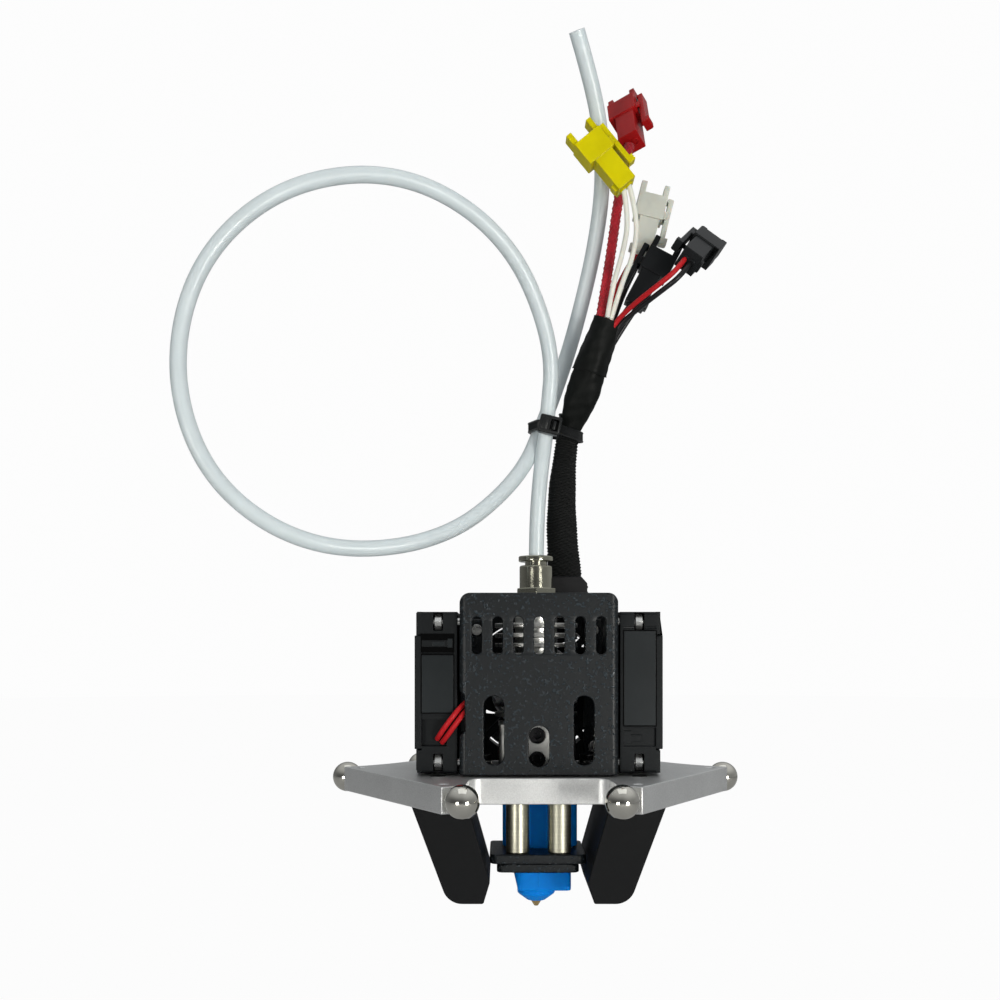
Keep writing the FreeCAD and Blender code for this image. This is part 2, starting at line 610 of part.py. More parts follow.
def heat_sink_fan():
    y0, y1 = REAR_FAN_FRONT_Y, REAR_FAN_FRONT_Y + REAR_FAN_DEPTH
    half = FAN_SIZE / 2
    frame = plate_xz(rectangle(-half, half, FAN_BOTTOM, FAN_TOP), 2.4, y0, y1)
    frame = frame.cut(cylinder(19.0, (0, y0 - 1, FAN_MID_Z), (0, 1, 0), REAR_FAN_DEPTH + 2))
    struts = [cylinder(12.4, (0, y0 + 0.2, FAN_MID_Z), (0, 1, 0), 1.5)]
    for angle in (45, 135, 225, 315):
        strut = box(-1.0, 1.0, y0 + 0.2, y0 + 1.7, FAN_MID_Z + 11, FAN_MID_Z + 19.5)
        strut.rotate(Vector(0, 0, FAN_MID_Z), Vector(0, 1, 0), angle)
        struts.append(strut)
    struts.append(cylinder(SHAFT_RADIUS, (0, y0 + 0.2, FAN_MID_Z), (0, 1, 0), 8.3))
    frame = fuse([frame] + struts)
    for x in (-16, 16):
        for z in (FAN_MID_Z - 16, FAN_MID_Z + 16):
            frame = frame.cut(cylinder(1.6, (x, y0 - 1, z), (0, 1, 0), REAR_FAN_DEPTH + 2))
    save("heat_sink_fan_frame", frame)

    hub = cylinder(12.0, (0, y0 + 2.1, FAN_MID_Z), (0, 1, 0), 7.2)
    blades = []
    for i in range(7):
        blade = box(-5.2, 5.2, y0 + 5.2, y0 + 6.1, FAN_MID_Z + 11, FAN_MID_Z + 19.5)
        blade.rotate(Vector(0, y0 + 5.6, FAN_MID_Z), Vector(0, 0, 1), 38)
        blade.rotate(Vector(0, 0, FAN_MID_Z), Vector(0, 1, 0), i * 360 / 7)
        blades.append(blade)
    rotor = hub.multiFuse(blades)
    rotor = rotor.common(cylinder(18.4, (0, y0 + 1, FAN_MID_Z), (0, 1, 0), 10))
    rotor = rotor.cut(cylinder(SHAFT_RADIUS + RUNNING_CLEARANCE, (0, y0 + 2, FAN_MID_Z), (0, 1, 0), 6.8))
    save("heat_sink_fan_rotor", rotor)

    screws = []
    for x in (-16, 16):
        for z in (FAN_MID_Z - 16, FAN_MID_Z + 16):
            screws.append(cap_screw((x, y1, z), (0, -1, 0), 1.5, 12.0, 2.75, 2.2))
    save("fan_screws", group(screws))


# ---------------------------------------------------------------- hotend


def heat_sink():
    base = plate_xy(rectangle(-10, 10, -10, 10), 1.0, PLATE_TOP, 15.2)
    spigot = cylinder(6.0, (0, 0, PLATE_BOTTOM), (0, 0, 1), 8)
    core = cylinder(5.6, (0, 0, 15), (0, 0, 1), HEAT_SINK_TOP - 15)
    fins = []
    for i in range(FIN_COUNT):
        fins.append(cylinder(11.0, (0, 0, 17.0 + i * FIN_PITCH), (0, 0, 1), 1.1))
    boss = cylinder(7.2, (0, 0, 43.2), (0, 0, 1), HEAT_SINK_TOP - 43.2)
    sink = fuse([base, spigot, core, boss] + fins)
    cuts = [
        cylinder(HEAT_BREAK_BORE, (0, 0, PLATE_BOTTOM - 1), (0, 0, 1), 16.2),
        cylinder(TUBE_RADIUS + RUNNING_CLEARANCE, (0, 0, 8), (0, 0, 1), 40),
        cylinder(4.9, (0, 0, 38.5), (0, 0, 1), 10),
    ]
    for z in CLAMP_HEIGHTS:
        cuts.append(cylinder(2.1, (0, -10.5, z), (0, 1, 0), 10.5 - HEAT_BREAK_BORE + 0.2))
    for x, y in SINK_SCREWS:
        cuts.append(cylinder(1.5 + RUNNING_CLEARANCE, (x, y, PLATE_TOP - 1), (0, 0, 1), 6))
    sink = sink.cut(cuts[0].multiFuse(cuts[1:]))
    save("heat_sink", sink)


def heat_sink_screws():
    screws = [flat_screw((x, y, PLATE_BOTTOM), (0, 0, 1), 1.5, 10.0, 2.8) for x, y in SINK_SCREWS]
    save("heat_sink_screws", group(screws))
    clamps = [grub_screw((0, -7.5, z), (0, 1, 0), 2.05, 7.5 - HEAT_BREAK_BORE) for z in CLAMP_HEIGHTS]
    save("heat_break_clamp_screws", group(clamps))


def coupling():
    body = fuse([
        cylinder(4.85, (0, 0, 39.0), (0, 0, 1), 7.6),
        hex_prism(10.0, (0, 0, HEAT_SINK_TOP), (0, 0, 1), 4.3),
        cylinder(4.4, (0, 0, 50.8), (0, 0, 1), 6.1),
    ])
    body = body.cut(cylinder(TUBE_RADIUS + RUNNING_CLEARANCE, (0, 0, 38), (0, 0, 1), 20))
    body = body.cut(cylinder(3.0, (0, 0, 50.6), (0, 0, 1), 8))
    edge_rings = [e for e in body.Edges if e.BoundBox.ZLength < 1e-6 and abs(e.BoundBox.ZMax - 56.9) < 1e-6
                  and e.BoundBox.XLength > 8]
    body = body.makeFillet(0.5, edge_rings)
    save("coupling_body", body)
    sleeve = cylinder(3.0 - RUNNING_CLEARANCE, (0, 0, 52.0), (0, 0, 1), 6.2)
    ring = cylinder(4.65, (0, 0, 56.9 + COLLET_TRAVEL), (0, 0, 1), 1.5)
    collet = fuse([sleeve, ring])
    rims = [e for e in collet.Edges if e.BoundBox.ZLength < 1e-6 and e.BoundBox.XLength > 9]
    collet = collet.makeFillet(0.35, rims)
    collet = collet.cut(cylinder(TUBE_RADIUS + RUNNING_CLEARANCE, (0, 0, 50), (0, 0, 1), 12))
    save("coupling_collet", collet)


def heat_break():
    top = cylinder(HEAT_BREAK_BORE - RUNNING_CLEARANCE, (0, 0, -1.6), (0, 0, 1), 13.6)
    neck = cylinder(1.9, (0, 0, BLOCK_TOP), (0, 0, 1), 7)
    foot = cylinder(2.95, (0, 0, -14.0), (0, 0, 1), 14.0 + BLOCK_TOP)
    bore = cylinder(1.0, (0, 0, -15), (0, 0, 1), 30)
    save("heat_break", fuse([top, neck, foot]).cut(bore))


def heater_block():
    block = plate_xy(rectangle(-4.9, 7.6, -4.6, 13.4), 0.6, BLOCK_BOTTOM, BLOCK_TOP)
    cuts = [
        cylinder(3.0, (0, 0, BLOCK_BOTTOM - 1), (0, 0, 1), 30),
        cylinder(3.05, CARTRIDGE_PLACE + (-25.0,), (0, 0, 1), 30),
        cylinder(1.55, THERMISTOR_PLACE + (-20.0,), (0, 0, 1), 30),
    ]
    save("heater_block", block.cut(cuts[0].multiFuse(cuts[1:])))
    save("heater_cartridge", cylinder(3.0, CARTRIDGE_PLACE + (-24.9,), (0, 0, 1), 20.4))
    save("thermistor", cylinder(1.5, THERMISTOR_PLACE + (-19.9,), (0, 0, 1), 14.4))


def nozzle():
    cone_start = -30.0
    thread = cylinder(2.95, (0, 0, BLOCK_BOTTOM - 0.1), (0, 0, 1), 12.8)
    hexagon = hex_prism(6.0, (0, 0, cone_start), (0, 0, 1), BLOCK_BOTTOM - cone_start)
    tip = cone(0.5, 2.6, (0, 0, NOZZLE_TIP), (0, 0, 1), cone_start - NOZZLE_TIP)
    body = fuse([thread, hexagon, tip])
    body = body.cut(cylinder(1.0, (0, 0, -31.6), (0, 0, 1), 20))
    save("nozzle", body.cut(cylinder(0.25, (0, 0, NOZZLE_TIP - 1), (0, 0, 1), 4)))


def silicone_sock():
    """Soft cover: a wider cuff above the guard plates, a close cup below, and a dome round the nozzle."""
    cuff = plate_xy(rectangle(-8.9, 10.6, -6.1, 14.9), 1.6, -16.8, -5.0)
    cup = plate_xy(rectangle(-6.3, 9.0, -6.1, 14.9), [3.0, 1.2, 1.2, 1.6], -28.4, -16.0)
    slope = [(-9, -29), (-9, -22.5), (-6.3, -22.5), (-4.9, -28.4), (-4.9, -29)]
    slope_cut = plate_xz(slope, [0, 0, 2.0, 0, 0], -7, 16)
    cup = cup.cut(slope_cut)
    collar = cylinder(5.0, (0, 0, -29.8), (0, 0, 1), 2.4)
    dome = cone(2.3, 5.0, (0, 0, -31.8), (0, 0, 1), 2.0)
    sock = fuse([cuff, cup, collar, dome])
    cavity = plate_xy(rectangle(-5.0, 7.7, -4.7, 13.5), 0.5, BLOCK_BOTTOM - 0.1, -4.0)
    nose = cylinder(3.6, (0, 0, -30.1), (0, 0, 1), 4)
    hole = cone(1.7, 2.8, (0, 0, -31.9), (0, 0, 1), 1.9)
    save("silicone_sock", sock.cut(cavity.multiFuse([nose, hole])))


# ---------------------------------------------------------------- standoffs and guard plates


def guard_plates():
    top = STANDOFF_BOTTOM
    mid = top - GUARD_THICKNESS
    outline = [(-12.2, -18.0), (12.2, -18.0), (12.2, 6.0), (9.6, 6.0), (9.6, -6.8), (-6.9, -6.8), (-6.9, 6.0),
               (-12.2, 6.0)]
    upper = plate_xy(outline, [2.0, 2.0, 1.0, 1.0, 1.0, 1.0, 1.0, 1.0], mid, top)
    bottom = mid - LOWER_GUARD_THICKNESS - 0.3
    lower = plate_xy(rectangle(-10.4, 10.4, -17.0, -6.9), 1.6, bottom, mid - 0.3)
    washers = [cylinder(3.0, (x, STANDOFF_Y, mid - 0.3), (0, 0, 1), 0.3) for x in STANDOFF_X]
    lower = fuse([lower] + washers)
    standoffs, screws = [], []
    for x in STANDOFF_X:
        hole = cylinder(1.5 + RUNNING_CLEARANCE, (x, STANDOFF_Y, bottom - 1), (0, 0, 1), 30)
        upper = upper.cut(hole)
        lower = lower.cut(countersink((x, STANDOFF_Y, bottom), (0, 0, 1), 1.5, 10, 2.7))
        post = cylinder(3.0, (x, STANDOFF_Y, top), (0, 0, 1), PLATE_BOTTOM - top)
        rims = [e for e in post.Edges if e.BoundBox.ZLength < 1e-6]
        standoffs.append(post.makeChamfer(0.25, rims).cut(hole))
        screws.append(flat_screw((x, STANDOFF_Y, bottom), (0, 0, 1), 1.5, 22.0, 2.7))
    save("guard_plate_upper", upper)
    save("guard_plate_lower", lower)
    save("standoffs", group(standoffs))
    save("standoff_screws", group(screws))


# ---------------------------------------------------------------- ducts


def duct(side, back_y):
    """Hollow slanting duct under one blower; side is -1 for left, 1 for right."""
    top = PLATE_BOTTOM
    front = -24.0
    outline = [(side * 31.8, top), (side * 22.4, -28.2), (side * 13.7, -28.2), (side * 12.1, -22.9),
               (side * 17.7, top)]
    shell = plate_xz(outline, [0, 5.0, 0.6, 0.6, 0], front, back_y)
    wall = 1.2
    hollow = [(side * 29.6, top + 1), (side * 22.2, -23.4), (side * 20.3, -27.0), (side * 12.6, -27.0),
              (side * 11.2, -23.6), (side * 14.4, -23.6), (side * 19.2, top + 1)]
    inside = plate_xz(hollow, 0, -19.6, back_y - wall)
    ear = plate_xy(rectangle(*sorted((side * 22.0, side * 28.2)), back_y - 0.2, back_y + 6.4),
                   [0, 0, 2.6, 2.6], top - 2.6, top)
    body = fuse([shell, ear]).cut(inside)
    for x, y in DUCT_SCREWS:
        if x * side > 0:
            body = body.cut(cylinder(1.0 + RUNNING_CLEARANCE, (x, y, top - 5.4), (0, 0, 1), 6.4))
    return body


def ducts():
    save("left_duct", duct(-1, 8.0))
    save("right_duct", duct(1, 16.0))
    screws = [flat_screw((x, y, PLATE_TOP), (0, 0, -1), 1.0, 8.4, 1.9) for x, y in DUCT_SCREWS]
    save("duct_screws", group(screws))


# ---------------------------------------------------------------- tube and harness


def strain_relief():
    block = plate_xz([(4.4, FAN_TOP), (14.1, FAN_TOP), (14.1, 52.6), (12.4, 54.5), (4.4, 54.5)],
                     [0.6, 0.6, 0.6, 0.6, 0.8], 6.2, 13.2)
    foot = plate_xy(rectangle(4.4, 14.1, 12.0, 21.4), 1.2, FAN_TOP, FAN_TOP + 2.4)
    save("strain_relief", fuse([block, foot]))


def heat_shrink():
    """Two lengths of heat-shrink that meet end to end, narrowing upwards."""
    start = SLEEVE_ROUTE[-1]
    middle = (13.4, -7.3, 106.6)
    end = (18.35, -9.8, 119.25)
    low_way = Vector(*middle) - Vector(*start)
    high_way = Vector(*end) - Vector(*middle)
    lower = cone(3.3, 4.7, start, tuple(low_way), low_way.Length)
    knuckle = Part.makeSphere(4.4, Vector(*middle))
    upper = cone(4.4, 3.4, middle, tuple(high_way), high_way.Length)
    save("heat_shrink", fuse([lower, knuckle, upper]))


def cable_tie():
    z0, z1 = 90.6, 93.2
    outer = plate_xy(rectangle(-3.0, 12.6, -9.9, 4.4), [4.4, 4.4, 3.2, 3.2], z0, z1)
    inner = plate_xy(rectangle(-2.0, 11.6, -8.9, 3.4), [3.4, 3.4, 2.2, 2.2], z0, z1)
    head = plate_xz(rectangle(2.0, 5.8, z0 - 0.7, z1 + 0.7), 0.5, -12.4, -9.6)
    tail = plate_xz(rectangle(5.6, 7.6, z0 + 0.2, z1 - 0.2), 0.3, -11.6, -10.6)
    save("cable_tie", fuse([outer.cut(inner), head, tail]))


def to_place(shape, origin, forward, side):
    """Move a shape from its own frame, z forward and x to the lever side, to its place."""
    z_way = Vector(*forward).normalize()
    x_way = Vector(*side)
    x_way = (x_way - z_way * x_way.dot(z_way)).normalize()
    y_way = z_way.cross(x_way)
    matrix = FreeCAD.Matrix(
        x_way.x, y_way.x, z_way.x, origin[0],
        x_way.y, y_way.y, z_way.y, origin[1],
        x_way.z, y_way.z, z_way.z, origin[2],
        0, 0, 0, 1)
    placed = shape.copy()
    placed.Placement = FreeCAD.Placement(matrix)
    return placed


def connector_housing():
    """Two-pin housing in its own frame: wires enter at z = 0, the mouth opens at the top."""
    tail = box(-2.6, 2.6, -2.9, 2.9, 0, 10.0)
    head = box(-4.2, 3.4, -3.3, 3.3, 9.2, 15.4)
    prongs = [box(-4.2, -2.7, -2.2, 2.2, 15.0, 18.6), box(2.0, 3.4, -2.2, 2.2, 15.0, 18.6)]
    pivots = [box(2.4, 4.3, -2.4, -1.8, 9.8, 11.8), box(2.4, 4.3, 1.8, 2.4, 9.8, 11.8)]
    ridge = box(-3.3, -2.5, -1.5, 1.5, 0.4, 2.2)
    body = fuse([tail, head, ridge] + prongs + pivots)
    mouth = box(-2.7, 2.0, -2.3, 2.3, 9.9, 19)
    pins = [cylinder(0.4, (x, 0, 9.5), (0, 0, 1), 5.0) for x in (-1.6, 0.9)]
    return fuse([body.cut(mouth)] + pins)


def latch_lever():
    """Rocking lever between the two pivot ears, in the connector's frame."""
    bar = box(3.9, 5.2, -1.6, 1.6, 3.6, 15.6)
    hook = box(3.6, 4.2, -1.6, 1.6, 14.6, 15.6)
    thumb = box(5.0, 5.8, -1.6, 1.6, 3.6, 5.2)
    return fuse([bar, hook, thumb])


def connectors():
    for name, origin, forward, side in CONNECTORS:
        save("connector_" + name, to_place(connector_housing(), origin, forward, side))
        save("latch_" + name, to_place(latch_lever(), origin, forward, side))


def leads():
    save("bowden_tube", cord(TUBE_ROUTE, TUBE_RADIUS, "bowden_tube"))
    save("harness_sleeve", cord(SLEEVE_ROUTE, SLEEVE_RADIUS, "harness_sleeve"))
    save("red_lead", cord(RED_LEAD_ROUTE, BRAID_RADIUS, "red_lead"))
    pairs = (
        ("yellow_lead", YELLOW_LEAD_ROUTES), ("white_lead", WHITE_LEAD_ROUTES),
        ("black_lead_a", BLACK_LEAD_A_ROUTES), ("black_lead_b", BLACK_LEAD_B_ROUTES),
        ("left_blower_lead", BLOWER_LEAD_ROUTES),
    )
    for name, routes in pairs:
        save(name, group([cord(route, WIRE_RADIUS, name) for route in routes]))


# ---------------------------------------------------------------- build

os.makedirs("parts", exist_ok=True)
effector_plate()
ball_studs()
stud_set_screws()
front_shroud()
shroud_screws()
blowers()
blower_screws_and_nuts()
heat_sink_fan()
heat_sink()
heat_sink_screws()
coupling()
heat_break()
heater_block()
nozzle()
silicone_sock()
guard_plates()
ducts()
strain_relief()
heat_shrink()
cable_tie()
connectors()
leads()
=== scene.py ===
"""Looks of the hotend assembly: camera, lights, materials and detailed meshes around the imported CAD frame.

The frame is in metres; sizes and places below are in millimetres and are scaled by MM.
X to the right, -Y to the front, +Z up; the origin is on the nozzle axis, at the height of the balls.
"""
import json
import math

import bmesh
import bpy
from mathutils import Matrix, Vector


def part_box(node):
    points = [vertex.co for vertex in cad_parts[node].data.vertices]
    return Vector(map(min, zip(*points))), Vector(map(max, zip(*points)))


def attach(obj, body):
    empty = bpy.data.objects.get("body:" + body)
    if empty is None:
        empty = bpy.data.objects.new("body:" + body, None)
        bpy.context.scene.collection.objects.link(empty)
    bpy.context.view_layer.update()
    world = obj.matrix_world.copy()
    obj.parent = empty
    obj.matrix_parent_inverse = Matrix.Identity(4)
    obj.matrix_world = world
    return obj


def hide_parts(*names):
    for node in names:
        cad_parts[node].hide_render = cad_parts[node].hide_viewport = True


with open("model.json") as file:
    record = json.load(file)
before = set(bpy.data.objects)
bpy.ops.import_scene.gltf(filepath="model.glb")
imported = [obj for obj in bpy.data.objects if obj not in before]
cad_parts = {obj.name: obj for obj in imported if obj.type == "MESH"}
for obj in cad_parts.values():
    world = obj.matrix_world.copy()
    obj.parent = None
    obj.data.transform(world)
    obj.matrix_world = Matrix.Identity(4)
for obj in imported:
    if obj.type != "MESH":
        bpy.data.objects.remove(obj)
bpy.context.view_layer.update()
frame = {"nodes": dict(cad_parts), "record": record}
NODES = frame["nodes"]
MM = 0.001
SHARP_EDGE = math.radians(32)

# ---------------------------------------------------------------- cord routes, as in the part's source

TUBE_ROUTE = [
    (0, 0, 49.5), (0, 0, 66), (1.0, -2.5, 80.5), (2.6, -6.5, 93), (4.3, -11, 113.4),
    (-7.6, -20, 138.1), (-32.3, -30, 150.5), (-60.3, -36, 145.6), (-80.9, -38.5, 126.5),
    (-87.2, -38, 98.7), (-78.0, -35, 72.8), (-54.0, -29, 58.0), (-24.2, -18, 61.4),
    (-4.4, -5.5, 78.9), (3.0, 2.5, 97.6), (8.6, 1.5, 113.5), (12.3, -2, 127.0),
    (15.2, -6, 139.9), (16.9, -10.5, 153.4), (16.0, -15.5, 165.6), (13.2, -20.7, 176.2),
    (9.2, -26.0, 186.2),
]
SLEEVE_ROUTE = [(8.2, 9.6, 54.3), (7.3, 8.4, 63.5), (6.9, 4.0, 74), (7.4, -0.6, 84.5), (8.9, -4.2, 96.2)]
RED_LEAD_ROUTE = [
    (16.3, -9.6, 120.0), (17.6, -10, 128), (19.2, -11.4, 138.5), (20.8, -13.2, 151.2), (23.6, -12, 164.0),
]
YELLOW_LEAD_ROUTES = [
    [(17.9, -12.1, 119.6), (19, -13, 127), (21.4, -16.5, 134.6), (22.6, -20.5, 142.2), (21, -22, 149.2)],
    [(18.9, -11.2, 119.2), (21.2, -13, 127.5), (24.3, -16.5, 134.5), (24.8, -20.5, 142.4), (22.4, -22, 149.9)],
]
WHITE_LEAD_ROUTES = [
    [(14.3, -6.2, 109.8), (16.2, -7.3, 114.6), (18.3, -7.9, 120.0), (19.8, -6.6, 125.8), (22.6, -4.4, 133.0),
     (26.4, -2.4, 139.1)],
    [(15.7, -6.4, 109.4), (17.6, -7.4, 114.2), (19.8, -7.6, 119.8), (21.9, -5.8, 125.6), (24.8, -3.6, 132.4),
     (28.2, -2.4, 138.9)],
]
BLACK_LEAD_A_ROUTES = [
    [(9.6, -4.6, 96.8), (12.8, -6.9, 103.6), (16.2, -8.4, 111.4), (20.2, -8.9, 118.4), (24.2, -8.8, 124.0)],
    [(11.0, -4.2, 96.5), (14.4, -6.4, 103.0), (17.9, -7.9, 110.6), (21.9, -8.5, 117.4), (25.8, -8.5, 123.2)],
]
BLACK_LEAD_B_ROUTES = [
    [
        (16.0, -10.1, 109.2), (17.7, -11.2, 113.4), (19.8, -12.0, 118.4), (24.3, -16.2, 122.0),
        (29.2, -21.6, 124.8), (33.9, -24.3, 128.0), (36.5, -21.1, 132.0),
    ],
    [
        (17.2, -9.2, 108.7), (18.9, -10.3, 112.9), (20.8, -11.2, 117.8), (25.5, -15.3, 121.1),
        (30.5, -21.0, 123.8), (35.1, -23.9, 126.8), (37.9, -21.0, 131.0),
    ],
]
BLOWER_LEAD_ROUTES = [
    [(-25.2, -20.7, 12.4), (-24.4, -23.1, 13.8), (-21.4, -24.3, 17.9), (-18.9, -22.4, 21), (-17.2, -19.6, 22)],
    [(-24, -20.7, 11.5), (-22.9, -23.2, 12.9), (-20.4, -24.4, 16.4), (-18.2, -22.5, 19.4),
     (-16.6, -19.7, 20.3)],
]
SLEEVE_LENGTH = 44.4
TUBE_RADIUS = 2.0
TUBE_BORE = 1.0
BRAID_RADIUS = 1.2
WIRE_RADIUS = 0.65

# connectors: name, wire end, mouth direction, side of the latch lever
CONNECTORS = [
    ("red", (24.2, -11.9, 164.4), (-0.03, 0.55, 0.83), (0.80, -0.60, 0.0)),
    ("yellow", (21.7, -22.0, 149.4), (-0.63, 0.0, 0.77), (0.77, 0, 0.63)),
    ("white", (27.4, -2.4, 138.8), (0.24, 0.0, 0.97), (0.97, 0, -0.24)),
    ("black_a", (24.9, -8.8, 123.4), (0.47, 0.0, 0.88), (-0.88, 0, 0.47)),
    ("black_b", (37.2, -21.5, 131.1), (0.41, 0.74, 0.53), (-0.70, 0.1, 0.60)),
]

# ---------------------------------------------------------------- camera


def make_camera():
    """Level camera in front of the assembly; the shift frames the tall harness above it."""
    data = bpy.data.cameras.new("camera")
    data.sensor_width = 36.0
    data.lens = 44.5
    data.shift_y = 0.15
    data.clip_start = 0.01
    camera = bpy.data.objects.new("camera", data)
    camera.location = (-0.0096, -0.3287, 0.0345)
    camera.rotation_euler = (math.radians(90), 0, 0)
    bpy.context.scene.collection.objects.link(camera)
    bpy.context.scene.camera = camera


# ---------------------------------------------------------------- mesh helpers


def add_object(name, data):
    piece = bpy.data.objects.new(name, data)
    bpy.context.scene.collection.objects.link(piece)
    return piece


def smooth_mesh(mesh, sharp):
    """Shade a mesh smooth, with an edge kept sharp where its faces meet at more than the given angle."""
    mesh.polygons.foreach_set("use_smooth", [True] * len(mesh.polygons))
    mesh.set_sharp_from_angle(angle=math.radians(sharp))


def mesh_piece(name, points, faces, sharp=35):
    """New mesh object from points in millimetres, with its faces turned outwards."""
    mesh = bpy.data.meshes.new(name)
    mesh.from_pydata([Vector(p) * MM for p in points], [], faces)
    work = bmesh.new()
    work.from_mesh(mesh)
    bmesh.ops.recalc_face_normals(work, faces=work.faces)
    work.to_mesh(mesh)
    work.free()
    smooth_mesh(mesh, sharp)
    return add_object(name, mesh)


def dress(piece, slot, body="root", material=None):
    """Give a new piece its record slot's material or its own, and the body that it rides on."""
    piece.data.materials.clear()
    piece.data.materials.append(material or MATERIALS[slot])
    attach(piece, body)
    return piece


def flat_faces(piece):
    """Let each vertex follow its largest face, so that flat faces shade flat up to their rounded edges."""
    weigh = piece.modifiers.new("flat_faces", "WEIGHTED_NORMAL")
    weigh.mode = "FACE_AREA"
    weigh.weight = 90
    weigh.keep_sharp = True


def shaded_mesh(work, name, sharp):
    """New smooth mesh from a bmesh, which is freed."""
    mesh = bpy.data.meshes.new(name)
    work.to_mesh(mesh)
    work.free()
    smooth_mesh(mesh, sharp)
    return mesh


def flat_piece(work, name, sharp):
    """New piece from a bmesh, whose flat faces shade flat."""
    piece = add_object(name, shaded_mesh(work, name, sharp))
    flat_faces(piece)
    return piece


def rounded_edges(piece, width):
    bevel = piece.modifiers.new("round_edges", "BEVEL")
    bevel.width = width * MM
    bevel.segments = 2
    bevel.limit_method = "ANGLE"
    bevel.angle_limit = SHARP_EDGE
    bevel.use_clamp_overlap = False
    flat_faces(piece)


def soft_profile(points, radii, steps=5):
    """Outline of (radius, height) points with each corner rounded by its own radius."""
    outline = []
    for i, point in enumerate(points):
        here = Vector(point)
        if radii[i] == 0 or i in (0, len(points) - 1):
            outline.append(here)
            continue
        before = (Vector(points[i - 1]) - here).normalized()
        after = (Vector(points[i + 1]) - here).normalized()
        half = before.angle(after) / 2
        reach = radii[i] / math.tan(half)
        centre = here + (before + after).normalized() * (radii[i] / math.sin(half))
        start = here + before * reach - centre
        end = here + after * reach - centre
        for k in range(steps + 1):
            outline.append(centre + start.lerp(end, k / steps).normalized() * radii[i])
    return outline


def lathe(name, profile, place=(0, 0, 0), axis=(0, 0, 1), segments=72, sharp=32, closed=False):
    """Turned piece: the profile's (radius, height) points revolved about an axis through a place."""
    turn = Vector((0, 0, 1)).rotation_difference(Vector(axis)).to_matrix()
    place = Vector(place)
    points, rings = [], []
    for radius, height in profile:
        if radius < 1e-6:
            rings.append([len(points)])
            points.append(place + turn @ Vector((0, 0, height)))
            continue
        ring = []
        for k in range(segments):
            angle = 2 * math.pi * k / segments
            ring.append(len(points))
            points.append(place + turn @ Vector((radius * math.cos(angle), radius * math.sin(angle), height)))
        rings.append(ring)
    faces = []
    pairs = list(zip(rings, rings[1:]))
    if closed:
        pairs.append((rings[-1], rings[0]))
    for low, high in pairs:
        for k in range(segments):
            n = (k + 1) % segments
            if len(low) == 1 and len(high) > 1:
                faces.append((low[0], high[n], high[k]))
            elif len(high) == 1 and len(low) > 1:
                faces.append((low[k], low[n], high[0]))
            elif len(low) > 1:
                faces.append((low[k], low[n], high[n], high[k]))
    return mesh_piece(name, points, faces, sharp)


def block(name, low, high, edge, segments=2, place=None):
    """Box between two corners with rounded edges, in a local frame if one is given."""
    work = bmesh.new()
    bmesh.ops.create_cube(work, size=1.0)
    low, high = Vector(low), Vector(high)
    middle, size = (low + high) / 2, high - low
    for vertex in work.verts:
        vertex.co = Vector([middle[i] + vertex.co[i] * size[i] for i in range(3)])
    bmesh.ops.bevel(work, geom=list(work.edges), offset=edge, segments=segments, profile=0.5, affect="EDGES")
    if place is not None:
        bmesh.ops.transform(work, matrix=place, verts=work.verts)
    bmesh.ops.scale(work, vec=(MM, MM, MM), verts=work.verts)
    return flat_piece(work, name, 40)


def join(name, pieces):
    """Join separate meshes into one piece."""
    work = bmesh.new()
    for piece in pieces:
        work.from_mesh(piece.data)
        old = piece.data
        bpy.data.objects.remove(piece)
        bpy.data.meshes.remove(old)
    return flat_piece(work, name, 38)


# ---------------------------------------------------------------- lines along cords


def route_spline(name, route, radius=0.0):
    """One open NURBS spline with the route's points as its control points."""
    curve = bpy.data.curves.new(name, "CURVE")
    curve.dimensions = "3D"
    spline = curve.splines.new("NURBS")
    spline.points.add(len(route) - 1)
    for point, place in zip(spline.points, route):
        point.co = (place[0] * MM, place[1] * MM, place[2] * MM, 1)
    spline.order_u = 3
    spline.use_endpoint_u = True
    spline.resolution_u = 24
    curve.bevel_depth = radius * MM
    curve.bevel_resolution = 7
    curve.use_fill_caps = True
    return curve


def spline_points(route):
    """Points in millimetres read from the route's own spline."""
    guide = add_object("guide", route_spline("guide", route))
    mesh = bpy.data.meshes.new_from_object(guide)
    points = [vertex.co / MM for vertex in mesh.vertices]
    bpy.data.objects.remove(guide)
    bpy.data.meshes.remove(mesh)
    return points


class Track:
    """A line to walk along: points with the distance from its start."""

    def __init__(self, points):
        self.points = [Vector(p) for p in points]
        self.marks = [0.0]
        for a, b in zip(self.points, self.points[1:]):
            self.marks.append(self.marks[-1] + (b - a).length)
        self.length = self.marks[-1]

    def at(self, distance):
        distance = min(max(distance, 0.0), self.length)
        k = 1
        while k < len(self.marks) - 1 and self.marks[k] < distance:
            k += 1
        span = self.marks[k] - self.marks[k - 1]
        share = (distance - self.marks[k - 1]) / span if span else 0.0
        return self.points[k - 1].lerp(self.points[k], share)

    def axes(self, distance):
        """Point, forward way, and the side and depth ways across it; depth leans to +Y."""
        reach = min(0.6, self.length / 10)
        forward = (self.at(distance + reach) - self.at(distance - reach)).normalized()
        depth = Vector((0, 1, 0))
        depth = (depth - forward * depth.dot(forward)).normalized()
        return self.at(distance), forward, depth.cross(forward), depth


